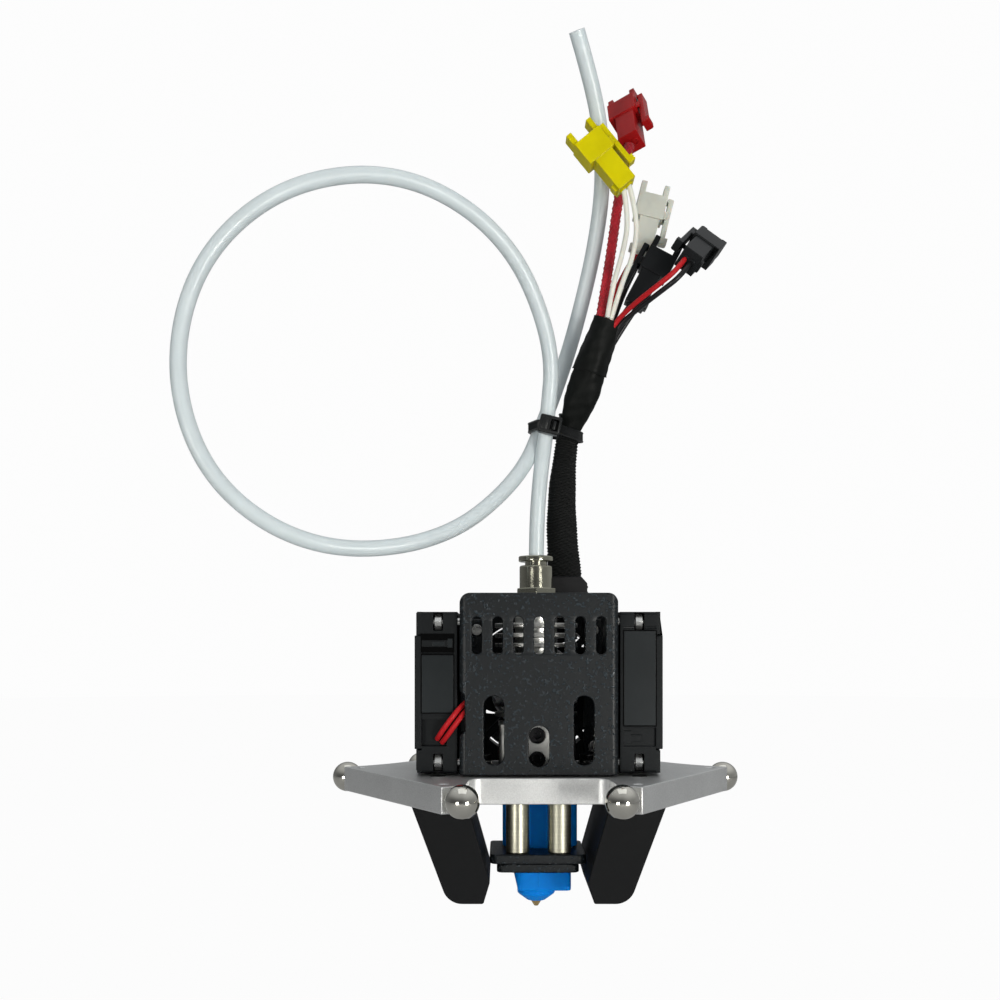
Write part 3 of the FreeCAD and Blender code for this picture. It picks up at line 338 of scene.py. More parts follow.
def sweep(name, track, stations, around, section, bore=None, sharp=50):
    """Tube along a track. section(distance, angle) gives (side, depth) offsets in millimetres."""
    rings = []
    points = []
    for inner in (section, bore):
        if inner is None:
            continue
        for distance in stations:
            centre, _, side, depth = track.axes(distance)
            ring = []
            for k in range(around):
                a, b = inner(distance, 2 * math.pi * k / around)
                ring.append(len(points))
                points.append(centre + side * a + depth * b)
            rings.append(ring)
    count = len(stations)
    faces = []

    def wall(first, second):
        for k in range(around):
            n = (k + 1) % around
            faces.append((first[k], first[n], second[n], second[k]))

    for low, high in zip(rings[:count], rings[1:count]):
        wall(low, high)
    if bore is None:
        for ring in (rings[0], rings[count - 1]):
            centre = sum((points[i] for i in ring), Vector()) / around
            points.append(centre)
            for k in range(around):
                faces.append((ring[k], ring[(k + 1) % around], len(points) - 1))
    else:
        for low, high in zip(rings[count:], rings[count + 1:]):
            wall(low, high)
        wall(rings[0], rings[count])
        wall(rings[count - 1], rings[-1])
    return mesh_piece(name, points, faces, sharp)


def steps(start, end, spacing):
    count = max(2, round((end - start) / spacing))
    return [start + (end - start) * i / count for i in range(count + 1)]


def eased(values, share):
    """Catmull-Rom value through a list of numbers or vectors, share from 0 to 1."""
    reach = share * (len(values) - 1)
    k = min(int(reach), len(values) - 2)
    t = reach - k
    a = values[max(k - 1, 0)]
    b, c = values[k], values[k + 1]
    d = values[min(k + 2, len(values) - 1)]
    square, cube = a * 2 - b * 5 + c * 4 - d, b * 3 - a - c * 3 + d
    return (b * 2 + (c - a) * t + square * t * t + cube * t ** 3) * 0.5


# ---------------------------------------------------------------- materials


class Shading:
    """Adds nodes to a tree; an input takes a value or another node's output."""

    def __init__(self, tree):
        self.tree = tree

    def feed(self, socket, value):
        if isinstance(value, bpy.types.NodeSocket):
            self.tree.links.new(value, socket)
        else:
            socket.default_value = value

    def add(self, kind, inputs=None, **settings):
        node = self.tree.nodes.new(kind)
        for setting, value in settings.items():
            setattr(node, setting, value)
        for socket, value in (inputs or {}).items():
            self.feed(node.inputs[socket], value)
        return node

    def spread(self, value, from_low, from_high, to_low=0.0, to_high=1.0, **settings):
        """Value moved from one range to another."""
        inputs = {"Value": value, "From Min": from_low, "From Max": from_high, "To Min": to_low,
                  "To Max": to_high}
        return self.add("ShaderNodeMapRange", inputs, **settings).outputs["Result"]

    def math(self, operation, a, b):
        return self.add("ShaderNodeMath", {0: a, 1: b}, operation=operation).outputs[0]

    def blend(self, share, first, second):
        """Mix of two shaders."""
        return self.add("ShaderNodeMixShader", {0: share, 1: first, 2: second}).outputs[0]


class Surface(Shading):
    """A procedural material built step by step around one Principled shader."""

    def __init__(self, name, colour=None, roughness=0.5, metallic=0.0, **sockets):
        self.material = bpy.data.materials.new(name)
        self.material.use_nodes = True
        super().__init__(self.material.node_tree)
        self.shader = self.tree.nodes["Principled BSDF"]
        self.place = self.add("ShaderNodeTexCoord").outputs["Object"]
        self.colour = colour
        self.normal = None
        self.set("Roughness", roughness)
        self.set("Metallic", metallic)
        for socket, value in sockets.items():
            self.set(socket.replace("_", " "), value)

    def set(self, socket, value):
        self.feed(self.shader.inputs[socket], value)

    def stretched(self, x, y, z):
        """Object coordinates scaled unevenly, for grain that runs one way."""
        return self.add("ShaderNodeMapping", {"Vector": self.place, "Scale": (x, y, z)}).outputs["Vector"]

    def noise(self, per_metre, detail=3.0, roughness=0.55, place=None, distortion=0.0):
        inputs = {"Vector": place or self.place, "Scale": per_metre, "Detail": detail, "Roughness": roughness,
                  "Distortion": distortion}
        return self.add("ShaderNodeTexNoise", inputs).outputs["Fac"]

    def mix(self, share, colour_a, colour_b):
        node = self.add("ShaderNodeMix", {"Factor": share}, data_type="RGBA")
        for socket, colour in ((node.inputs[6], colour_a), (node.inputs[7], colour_b)):
            self.feed(socket, colour if isinstance(colour, bpy.types.NodeSocket) else (*colour, 1.0))
        return node.outputs[2]

    def tones(self, value, low, high, dark, bright):
        """Base colour that goes from a dark to a bright tint as a value goes from low to high."""
        share = self.spread(value, low, high)
        self.set("Base Color", self.mix(share, tint(self.colour, dark), tint(self.colour, bright)))

    def gloss(self, value, low, high, start, end):
        """Roughness that goes from start to end as a value goes from low to high."""
        self.set("Roughness", self.spread(value, low, high, start, end))

    def relief(self, height, depth_mm, strength=1.0):
        """Add a bump of the given depth on top of those already there."""
        inputs = {"Height": height, "Distance": depth_mm * MM, "Strength": strength}
        if self.normal is not None:
            inputs["Normal"] = self.normal
        self.normal = self.add("ShaderNodeBump", inputs).outputs["Normal"]
        self.set("Normal", self.normal)


def tint(colour, factor):
    return tuple(min(1.0, c * factor) for c in colour)


def blasted_metal(name, colour):
    """Bead-blasted aluminium: fine craters, a soft sparkle and a few darker smudges."""
    s = Surface(name, colour, metallic=1.0)
    craters = s.noise(3200, 4, 0.6)
    grain = s.noise(9000, 2)
    smudge = s.noise(60, 4)
    s.tones(s.math("ADD", craters, s.math("MULTIPLY", smudge, 0.7)), 0.6, 1.1, 0.86, 1.1)
    s.gloss(grain, 0.3, 0.7, 0.36, 0.56)
    s.relief(craters, 0.05, 0.8)
    s.relief(grain, 0.012, 0.5)
    return s.material


def polished_metal(name, colour, roughness):
    """Plated or polished metal with faint wiping marks."""
    s = Surface(name, colour, metallic=1.0)
    wipes = s.noise(160, 5, 0.65, distortion=1.5)
    s.tones(wipes, 0.35, 0.7, 0.93, 1.04)
    s.gloss(wipes, 0.3, 0.75, roughness * 0.6, roughness * 1.7)
    s.relief(s.noise(2500, 2), 0.002, 0.4)
    return s.material


def turned_metal(name, colour, roughness, per_metre=2600):
    """Lathe-turned metal: fine grooves round an upright axis, uneven gloss."""
    s = Surface(name, colour, metallic=1.0)
    grooves = s.noise(1.0, 3, 0.7, s.stretched(40, 40, per_metre))
    streaks = s.noise(1.0, 2, 0.5, s.stretched(500, 500, 60))
    s.tones(grooves, 0.35, 0.65, 0.88, 1.08)
    s.gloss(streaks, 0.3, 0.7, roughness * 0.75, roughness * 1.25)
    s.relief(grooves, 0.006, 0.6)
    return s.material


def wrinkle_coat(name, colour):
    """Powder coat: separate small pimples that catch the light, over a slow orange peel; the pimples' lighter
    colour is a painted glint.
    """
    s = Surface(name, colour, Specular_IOR_Level=0.34)
    pimples = s.noise(1500, 1, 0.4)
    peel = s.noise(420, 3, 0.5)
    crisp = s.spread(pimples, 0.58, 0.70)
    # pimples painted up to 3.6 times lighter than the coat between them: a painted glint, on top of their real
    # bump and gloss
    s.tones(crisp, 0.0, 1.0, 0.75, 3.6)
    s.gloss(crisp, 0.0, 1.0, 0.42, 0.32)
    s.relief(crisp, 0.12)
    s.relief(peel, 0.05, 0.5)
    return s.material


def moulded_plastic(name, colour, roughness, specular, grain=0.012, variation=0.12):
    """Injection-moulded plastic: spark-eroded grain, soft flow marks, uneven gloss."""
    s = Surface(name, colour, Specular_IOR_Level=specular)
    flow = s.noise(45, 3, 0.5, distortion=0.6)
    fine = s.noise(5200, 3, 0.6)
    s.tones(flow, 0.3, 0.7, 1 - variation, 1 + variation)
    uneven = s.math("ADD", s.math("MULTIPLY", flow, 0.5), s.math("MULTIPLY", fine, 0.5))
    s.gloss(uneven, 0.35, 0.65, roughness * 0.85, roughness * 1.15)
    s.relief(fine, grain, 0.7)
    return s.material


def glossy_nylon(name, colour, milk):
    """Moulded connector nylon: light shows in its thin edges, with a few dull scuffs."""
    s = Surface(name, colour, Subsurface_Weight=milk, Specular_IOR_Level=0.14,
                Subsurface_Radius=(1.0, 0.6, 0.4), Subsurface_Scale=0.0012)
    flow = s.noise(130, 3, 0.5, distortion=0.8)
    scuff = s.noise(1600, 4, 0.7)
    s.tones(flow, 0.3, 0.7, 0.9, 1.06)
    s.gloss(scuff, 0.4, 0.75, 0.3, 0.5)
    s.relief(scuff, 0.01, 0.4)
    return s.material


def silicone(name, colour):
    """Matt silicone with a dusty bloom."""
    s = Surface(name, colour, Subsurface_Weight=0.3, Subsurface_Radius=(0.2, 0.6, 1.0), Subsurface_Scale=0.002,
                Specular_IOR_Level=0.12)
    bloom = s.noise(220, 5, 0.6)
    fine = s.noise(3600, 2)
    s.tones(bloom, 0.35, 0.75, 0.92, 1.1)
    s.gloss(fine, 0.3, 0.7, 0.42, 0.58)
    s.relief(fine, 0.008, 0.5)
    return s.material


def clouded_tube(name, colour):
    """PTFE: clouded white that light soaks into, with a waxy surface and faint draw lines."""
    s = Surface(name, colour, Subsurface_Weight=0.55, Coat_Weight=0.15, Subsurface_Radius=(1.0, 1.05, 1.1),
                Subsurface_Scale=0.0016)
    cloud = s.noise(55, 4, 0.5, distortion=0.5)
    lines = s.noise(900, 2)
    s.tones(cloud, 0.3, 0.7, 0.95, 1.04)
    s.gloss(lines, 0.3, 0.7, 0.3, 0.42)
    s.relief(lines, 0.004, 0.4)
    return s.material


def yarn(name, colour, roughness, fuzz):
    """Braided yarn: fibres far finer than the strands that the mesh has."""
    s = Surface(name, colour, Specular_IOR_Level=0.2, Sheen_Weight=fuzz, Sheen_Roughness=0.5)
    fibres = s.noise(9000, 3, 0.7)
    patches = s.noise(260, 3)
    s.tones(s.math("ADD", fibres, patches), 0.7, 1.3, 0.6, 1.5)
    s.gloss(fibres, 0.3, 0.7, roughness * 0.85, roughness * 1.15)
    s.relief(fibres, 0.03, 0.8)
    return s.material


def shrunk_film(name, colour):
    """Heat-shrink: satin film with faint lengthwise creases."""
    s = Surface(name, colour, Specular_IOR_Level=0.1)
    creases = s.noise(1.0, 3, 0.55, s.stretched(420, 420, 90))
    fine = s.noise(4200, 2)
    s.tones(creases, 0.3, 0.7, 0.85, 1.2)
    s.gloss(creases, 0.3, 0.7, 0.42, 0.58)
    s.relief(creases, 0.05, 0.5)
    s.relief(fine, 0.006, 0.5)
    return s.material


def printed_label(name, centre):
    """Pale fan label with plain grey rings about its centre, and no lettering."""
    rings_per_metre, ring_share = 420.0, 0.3
    s = Surface(name, roughness=0.45)
    shifted = s.add("ShaderNodeVectorMath", {0: s.place, 1: [c * MM for c in centre]}, operation="SUBTRACT")
    radius = s.add("ShaderNodeVectorMath", {0: shifted.outputs[0]}, operation="LENGTH").outputs["Value"]
    band = s.math("FRACT", s.math("MULTIPLY", radius, rings_per_metre), 0.0)
    ring = s.math("LESS_THAN", band, ring_share)
    paper = s.mix(s.noise(900, 3), (0.52, 0.53, 0.54), (0.66, 0.67, 0.68))
    s.set("Base Color", s.mix(ring, paper, (0.16, 0.17, 0.18)))
    s.relief(s.noise(3000, 2), 0.004, 0.4)
    return s.material


# recipe, name, linear colour, then the recipe's own values in its order
RECIPES = [
    (blasted_metal, "aluminium_blasted", (0.78, 0.785, 0.78)),
    (polished_metal, "ball_steel", (0.66, 0.64, 0.58), 0.06),
    (polished_metal, "screw_steel", (0.16, 0.16, 0.165), 0.3),
    (polished_metal, "nut_steel", (0.72, 0.72, 0.70), 0.24),
    (wrinkle_coat, "powder_coat", (0.0055, 0.0080, 0.0098)),
    (moulded_plastic, "fan_plastic", (0.0072, 0.0086, 0.0095), 0.42, 0.15),
    (moulded_plastic, "impeller_plastic", (0.014, 0.015, 0.016), 0.36, 0.35),
    (polished_metal, "sink_nickel", (0.76, 0.76, 0.73), 0.3),
    (polished_metal, "coupling_nickel", (0.47, 0.46, 0.375), 0.11),
    (turned_metal, "steel_satin", (0.42, 0.41, 0.33), 0.36),
    (polished_metal, "brass", (0.72, 0.52, 0.24), 0.2),
    (turned_metal, "block_aluminium", (0.7, 0.7, 0.7), 0.35, 1400),
    (silicone, "silicone_blue", (0.0, 0.22, 0.74)),
    (moulded_plastic, "duct_plastic", (0.0068, 0.0072, 0.0078), 0.6, 0.1, 0.02, 0.1),
    (moulded_plastic, "relief_plastic", (0.007, 0.007, 0.008), 0.5, 0.25),
    (clouded_tube, "ptfe", (0.62, 0.685, 0.705)),
    (yarn, "woven_sleeve", (0.0032, 0.0038, 0.0036), 0.45, 0.02),
    (shrunk_film, "heat_shrink_film", (0.0052, 0.006, 0.0056)),
    (moulded_plastic, "tie_nylon", (0.009, 0.010, 0.0105), 0.36, 0.35, 0.006),
    (glossy_nylon, "plug_red", (0.33, 0.007, 0.008), 0.15),
    (glossy_nylon, "plug_yellow", (0.61, 0.535, 0.0), 0.15),
    (glossy_nylon, "plug_white", (0.60, 0.62, 0.56), 0.4),
    (moulded_plastic, "plug_black", (0.0065, 0.0075, 0.0085), 0.34, 0.2, 0.004),
    (yarn, "braid_red", (0.36, 0.012, 0.022), 0.7, 0.3),
    (glossy_nylon, "wire_white", (0.76, 0.76, 0.69), 0.2),
    (glossy_nylon, "wire_red", (0.45, 0.014, 0.018), 0.05),
    (moulded_plastic, "wire_black", (0.008, 0.008, 0.009), 0.34, 0.35, 0.003),
    (moulded_plastic, "blower_panel", (0.0105, 0.0135, 0.0150), 0.36, 0.24, 0.004),
    (moulded_plastic, "seam_shadow", (0.0012, 0.0013, 0.0014), 0.8, 0.05),
    (polished_metal, "black_oxide", (0.05, 0.05, 0.052), 0.3),
    (polished_metal, "terminal_tin", (0.72, 0.70, 0.64), 0.22),
]
MATERIALS = {name: recipe(name, *values) for recipe, name, *values in RECIPES}
NODE_SLOT = {entry["node"]: entry["material_slot"] for entry in frame["record"]["subparts"]}
SLOTS = {entry["slot"] for entry in frame["record"]["materials"]}

# ---------------------------------------------------------------- cords


def bowden_tube():
    """Clouded feed tube with a real bore, cut square at its free end."""
    track = Track(spline_points(TUBE_ROUTE))

    def circle(radius):
        return lambda _, angle: (radius * math.cos(angle), radius * math.sin(angle))

    tube = sweep("feed_tube", track, steps(0, track.length, 1.2), 36, circle(TUBE_RADIUS), circle(TUBE_BORE))
    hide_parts("bowden_tube")
    dress(tube, "ptfe")
    return track


def sleeve_half_width(distance):
    """Wide at the strain relief, drawn in by the cable tie, spread again over the wires."""
    return eased([4.5, 4.35, 4.15, 3.9, 3.65, 3.35, 3.05, 2.8, 3.05], min(1.0, distance / SLEEVE_LENGTH))


def woven_sleeve():
    """Flat braided sleeve whose ribs are in the mesh."""
    track = Track(spline_points(SLEEVE_ROUTE))
    rib_pitch, lean, rib_depth = 0.86, 0.3, 0.16

    def section(distance, angle):
        half = sleeve_half_width(distance)
        thick = 1.55 + 2.0 * max(0.0, distance / SLEEVE_LENGTH - 0.75)
        across = math.copysign(abs(math.cos(angle)) ** 0.8, math.cos(angle))
        deep = math.copysign(abs(math.sin(angle)) ** 0.8, math.sin(angle))
        along = distance / rib_pitch
        lean_way = across * half * lean / rib_pitch * math.copysign(1, deep)
        rib = math.sin(2 * math.pi * (along + lean_way)) * rib_depth
        rib += math.sin(2 * math.pi * (along * 0.5 - lean_way * 1.7)) * rib_depth * 0.35
        wave = 0.05 * math.sin(distance * 0.55)
        return across * (half + wave + rib * 0.7), deep * (thick + rib)

    sleeve = sweep("woven_sleeve", track, steps(0, track.length, 0.1), 80, section, sharp=80)
    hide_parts("harness_sleeve")
    dress(sleeve, "woven_sleeve")
    return sleeve, track


def red_braid():
    """Glass-fibre braid: two sets of strands that cross over and under each other."""
    track = Track(spline_points(RED_LEAD_ROUTE))
    strands, twist_pitch = 6, 9.0

    def section(distance, angle):
        turn = distance / twist_pitch * strands
        spokes = angle / (2 * math.pi) * strands
        weave = math.sin(math.pi * (turn + spokes)) * math.sin(math.pi * (turn - spokes))
        radius = BRAID_RADIUS - 0.14 + 0.28 * abs(weave) ** 0.7
        return radius * math.cos(angle), radius * math.sin(angle)

    braid = sweep("red_braid", track, steps(0, track.length, 0.11), 48, section, sharp=80)
    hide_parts("red_lead")
    dress(braid, "braid_red")


def wire(name, route, finish, slot, node):
    """One insulated wire as a NURBS curve."""
    piece = add_object(name, route_spline(name, route, WIRE_RADIUS))
    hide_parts(node)
    return dress(piece, slot, material=MATERIALS[finish])


def wires():
    """The pairs of wires that leave the heat-shrink, each to its own connector."""
    groups = (
        ("yellow", "yellow_lead", YELLOW_LEAD_ROUTES, ("wire_white", "wire_white")),
        ("white", "white_lead", WHITE_LEAD_ROUTES, ("wire_red", "wire_black")),
        ("black_a", "black_lead_a", BLACK_LEAD_A_ROUTES, ("wire_black", "wire_black")),
        ("black_b", "black_lead_b", BLACK_LEAD_B_ROUTES, ("wire_red", "wire_black")),
    )
    for connector, node, routes, finishes in groups:
        for i, (route, finish) in enumerate(zip(routes, finishes)):
            slot = finish if finish in SLOTS else None
            piece = wire(node + "_wire_" + str(i + 1), route, finish, slot, node)
            length = Track(spline_points(route)).length
    for i, route in enumerate(BLOWER_LEAD_ROUTES):
        wire("blower_lead_wire_" + str(i + 1), route, "wire_red", "wire_red", "left_blower_lead")


# ---------------------------------------------------------------- heat-shrink and cable tie

# centre, half width and half depth at places up the harness
SHRINK_CENTRES = [Vector(place) for place in (
    (8.4, -3.3, 92.5), (9.4, -4.0, 94.8), (11.1, -5.3, 99.1), (12.2, -6.2, 101.6), (13.2, -7.0, 104.9),
    (13.9, -7.5, 107.3), (14.5, -7.9, 109.4), (15.3, -8.3, 111.6), (16.9, -9.1, 115.9), (18.2, -9.8, 119.6),
)]
SHRINK_HALF_WIDTHS = [2.75, 3.3, 4.0, 4.35, 4.3, 4.15, 3.95, 3.75, 3.55, 3.5]
SHRINK_HALF_DEPTHS = [2.2, 2.7, 3.4, 3.8, 4.0, 4.05, 4.05, 4.0, 3.8, 3.6]


def shrink_length(name, start, end, proud, flare):
    """One length of heat-shrink between two shares of the bundle; its skin stands proud of the one below."""
    centres = [eased(SHRINK_CENTRES, i / 60) for i in range(61)]
    whole = Track(centres)
    first, last = start * whole.length, end * whole.length

    def skin(distance, angle, thickness=0.0):
        share = distance / whole.length
        half_width = eased(SHRINK_HALF_WIDTHS, share)
        half_depth = eased(SHRINK_HALF_DEPTHS, share)
        ridge = 0.16 * math.cos(3 * angle + 6.6 * share) + 0.09 * math.cos(5 * angle - 12 * share + 1)
        pucker = 0.05 * math.sin(distance * 1.9 + 2 * math.sin(angle * 2))
        lip = flare * math.exp(-(distance - first) / 0.5)
        grow = ridge + pucker + proud + lip - thickness
        return (half_width + grow) * math.cos(angle), (half_depth + grow) * math.sin(angle)

    def inside(distance, angle):
        return skin(distance, angle, thickness=0.4)

    return sweep(name, whole, steps(first, last, 0.3), 64, skin, inside, sharp=60)


def heat_shrink():
    lower = shrink_length("heat_shrink_lower", 0.0, 0.595, 0.0, 0.0)
    upper = shrink_length("heat_shrink_upper", 0.527, 1.0, 0.3, 0.22)
    for piece in (lower, upper):
        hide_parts("heat_shrink")
        dress(piece, "heat_shrink_film")
    return [lower, upper]


def hull(points):
    """Convex outline round 2-D points, counterclockwise."""
    ordered = sorted(set((round(x, 4), round(y, 4)) for x, y in points))

    def half(run):
        chain = []
        for p in run:
            while len(chain) > 1:
                (ax, ay), (bx, by) = chain[-2], chain[-1]
                if (bx - ax) * (p[1] - ay) - (by - ay) * (p[0] - ax) > 0:
                    break
                chain.pop()
            chain.append(p)
        return chain[:-1]

    return half(ordered) + half(ordered[::-1])


def crossings(track, height):
    """Where a track passes a height, near the bundle."""
    found = []
    for a, b in zip(track.points, track.points[1:]):
        if (a.z - height) * (b.z - height) < 0 and abs(a.x) < 20:
            found.append(a.lerp(b, (height - a.z) / (b.z - a.z)))
    return found


def cable_tie(tube_track, sleeve_track):
    """Tie pulled tight round the tube's two passes and the sleeve, with its head in front."""
    height, lean, middle_x = 92.0, 0.24, 5.0
    half, thick, gap = 1.3, 0.9, 0.12
    stations, tangent_reach, tooth_depth = 260, 0.35, 0.1
    circle = [2 * math.pi * k / 48 for k in range(48)]
    around = []
    for place in crossings(tube_track, height):
        reach = TUBE_RADIUS + gap
        around += [(place.x + reach * math.cos(a), place.y + reach * math.sin(a)) for a in circle]
    for place in crossings(sleeve_track, height):
        wide, deep = 3.0 + gap, 1.95 + gap
        around += [(place.x + wide * math.cos(a), place.y + deep * math.sin(a)) for a in circle]
    outline = hull(around)
    loop = Track([Vector((x, y, height - lean * (x - middle_x))) for x, y in outline + outline[:1]])
    middle = sum((Vector((x, y, 0)) for x, y in outline), Vector()) / len(outline)
    edge = [(0.0, half), (0.12, half + 0.1), (thick * 0.85, half), (thick, half - 0.25),
            (thick - 0.14, half - 0.45)]
    profile = [(a, -b) for a, b in edge] + edge[::-1]
    points, faces = [], []
    for i in range(stations):
        distance = loop.length * i / stations
        here = loop.at(distance)
        ahead = loop.at((distance + tangent_reach) % loop.length)
        behind = loop.at((distance - tangent_reach) % loop.length)
        forward = (ahead - behind).normalized()
        up = Vector((0, 0, 1))
        up = (up - forward * up.dot(forward)).normalized()
        out = forward.cross(up).normalized()
        if out.dot(Vector((here.x, here.y, 0)) - middle) < 0:
            out = -out
        tooth = tooth_depth * (i % 2)
        for k, (a, b) in enumerate(profile):
            groove = tooth if k in (4, 5) else 0.0
            points.append(here + out * (a - groove) + up * b)
    size = len(profile)
    for i in range(stations):
        n = (i + 1) % stations
        for k in range(size):
            m = (k + 1) % size
            faces.append((i * size + k, i * size + m, n * size + m, n * size + k))
    strap = mesh_piece("cable_tie_strap", points, faces, 35)
    front = min(y for _, y in outline)
    head_x = 3.3
    turn = Matrix.Rotation(math.atan(lean), 4, "Y")
    place = Matrix.Translation((head_x, front - 1.55, height - lean * (head_x - middle_x) + 0.1)) @ turn
    head = add_object("cable_tie_head", tie_head_mesh(place))
    for piece in (strap, head):
        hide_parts("cable_tie")
        dress(piece, "tie_nylon")
    return [strap, head]


# lower corner, upper corner and edge radius of the tail's cut end, a raised pad in front and the pawl's bar
TIE_HEAD_BARS = (
    ((0.75, -1.3, -1.15), (1.5, 1.2, 1.15), 0.12),
    ((-2.2, -1.62, -1.6), (-0.6, -1.3, 1.6), 0.12),
    ((0.3, -0.5, -1.5), (0.62, 1.2, 1.5), 0.08),
)


def tie_head_mesh(place):
    """Head of the tie: a rounded case with an open slot, the pawl's bar and the cut end of the tail in it."""
    case = block("case", (-2.85, -1.45, -2.35), (2.85, 1.6, 2.35), 0.45, 3)
    slot_cut = block("slot_cut", (0.05, -3.0, -1.5), (2.2, 1.2, 1.5), 0.2, 2)
    cut = case.modifiers.new("slot", "BOOLEAN")
    cut.object = slot_cut
    cut.solver = "EXACT"
    bpy.context.view_layer.update()
    opened = bpy.data.meshes.new_from_object(case.evaluated_get(bpy.context.evaluated_depsgraph_get()))
    for extra in (case, slot_cut):
        bpy.data.objects.remove(extra)
    work = bmesh.new()
    work.from_mesh(opened)
    bpy.data.meshes.remove(opened)
    for low, high, edge in TIE_HEAD_BARS:
        extra = block("extra", low, high, edge)
        work.from_mesh(extra.data)
        bpy.data.objects.remove(extra)
    bmesh.ops.transform(work, matrix=Matrix.Scale(MM, 4) @ place @ Matrix.Scale(1 / MM, 4), verts=work.verts)
    return shaded_mesh(work, "cable_tie_head", 35)


# ---------------------------------------------------------------- connectors


def local_frame(origin, forward, side):
    """Matrix of a connector's own frame: z to the mouth, x to the lever."""
    z_way = Vector(forward).normalized()
    x_way = Vector(side)
    x_way = (x_way - z_way * x_way.dot(z_way)).normalized()
    y_way = z_way.cross(x_way)
    turn = Matrix((x_way, y_way, z_way)).transposed().to_4x4()
    return Matrix.Translation(origin) @ turn


def connector_details():
    """Tinned pins in each mouth, wire collars, and grip ribs on each lever's thumb."""
    for name, origin, forward, side in CONNECTORS:
        place = local_frame(origin, forward, side)
        slot = "plug_" + name.split("_")[0]
        way = place.to_3x3() @ Vector((0, 0, 1))
        pins = []
        for x in (-1.6, 0.9):
            start = place @ Vector((x, 0, 9.7))
            profile = soft_profile([(0, 0), (0.5, 0), (0.5, 4.7), (0.2, 5.6), (0, 5.6)], [0, 0, 0.1, 0.1, 0], 3)
            pins.append(lathe("pin", profile, start, way, 20))
        dress(join("connector_" + name + "_pins", pins), "nut_steel", material=MATERIALS["terminal_tin"])
        collars = []
        for x in (-1.0, 1.0):
            start = place @ Vector((x, 0, -0.35))
            profile = soft_profile([(0.72, 0.0), (1.0, 0.0), (1.15, 0.8), (0.72, 0.8)], [0, 0.12, 0, 0], 3)
            collars.append(lathe("collar", profile, start, way, 24, closed=True))
        dress(join("connector_" + name + "_collars", collars), slot)
        ribs = []
        for z in (4.0, 4.6, 5.2):
            ribs.append(block("rib", (5.1, -1.5, z - 0.16), (5.95, 1.5, z + 0.16), 0.1, 2, place))
        dress(join("latch_" + name + "_ribs", ribs), slot, "latch_" + name + "_body")


# ---------------------------------------------------------------- balls, coupling, fan wheels


def ball_studs():
    """Polished balls on turned necks, one for each stud of the frame."""
    radius, neck, shank, rings = 4.0, 1.8, 1.47, 40
    neck_start = math.sqrt(radius ** 2 - neck ** 2)
    end_angle = math.pi - math.asin(neck / radius)
    profile = [(0, -radius)]
    for k in range(1, rings + 1):
        angle = end_angle * k / rings
        profile.append((radius * math.sin(angle), -radius * math.cos(angle)))
    profile += [(neck - 0.1, neck_start + 0.25), (neck, neck_start + 0.5), (neck, 4.5), (shank, 4.5),
                (shank, 12.6), (0, 12.9)]
    for name in [n for n in NODES if n.startswith("ball_stud_")]:
        shank_way, centre = stud_axis(NODES[name])
        piece = lathe(name.replace("ball_stud", "ball"), profile, centre, shank_way, 96, 30)
        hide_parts(name)
        dress(piece, "ball_steel")


def stud_axis(node):
    """Direction from the ball into its bar, and the ball's centre, both in the XY plane."""
    stud_reach = 13.0
    points = [v.co / MM for v in node.data.vertices]
    ball = [p for p in points if abs(p.z) > 2.2]
    centre = sum(ball, Vector()) / len(ball)
    shank = [p for p in points if (p - centre).length > 8]
    end = sum(shank, Vector()) / len(shank)
    way = end - centre
    way.z = 0
    way.normalize()
    far = max((p - centre).dot(way) for p in points)
    centre = centre + way * (far - stud_reach)
    centre.z = 0
    return way, centre


def blade_mesh(points, faces, grid, half_thickness):
    """Thick closed blade over a grid of midplane points."""
    rows, columns = len(grid), len(grid[0])
    start = len(points)
    for side in (1, -1):
        for i in range(rows):
            for j in range(columns):
                du = grid[min(i + 1, rows - 1)][j] - grid[max(i - 1, 0)][j]
                dv = grid[i][min(j + 1, columns - 1)] - grid[i][max(j - 1, 0)]
                normal = du.cross(dv).normalized()
                share = 2 * j / (columns - 1) - 1
                thickness = half_thickness * (0.35 + 0.65 * math.sqrt(1 - share ** 4))
                points.append(grid[i][j] + normal * side * thickness)
    size = rows * columns

    def index(side, i, j):
        return start + side * size + i * columns + j

    for i in range(rows - 1):
        for j in range(columns - 1):
            faces.append((index(0, i, j), index(0, i, j + 1), index(0, i + 1, j + 1), index(0, i + 1, j)))
            faces.append((index(1, i, j), index(1, i + 1, j), index(1, i + 1, j + 1), index(1, i, j + 1)))
    rim = [(i, 0) for i in range(rows)] + [(rows - 1, j) for j in range(1, columns)]
    rim += [(i, columns - 1) for i in range(rows - 2, -1, -1)] + [(0, j) for j in range(columns - 2, 0, -1)]
    for a, b in zip(rim, rim[1:] + rim[:1]):
        faces.append((index(0, *a), index(0, *b), index(1, *b), index(1, *a)))


def blade_ring(count, rows, columns, half_thickness, place):
    """Evenly spaced blades; place(base angle, row, share of the chord) gives a point of the midplane."""
    points, faces = [], []
    for number in range(count):
        base = 2 * math.pi * number / count
        grid = [[place(base, i, j / (columns - 1)) for j in range(columns)] for i in range(rows)]
        blade_mesh(points, faces, grid, half_thickness)
    return mesh_piece("blades", points, faces, 45)


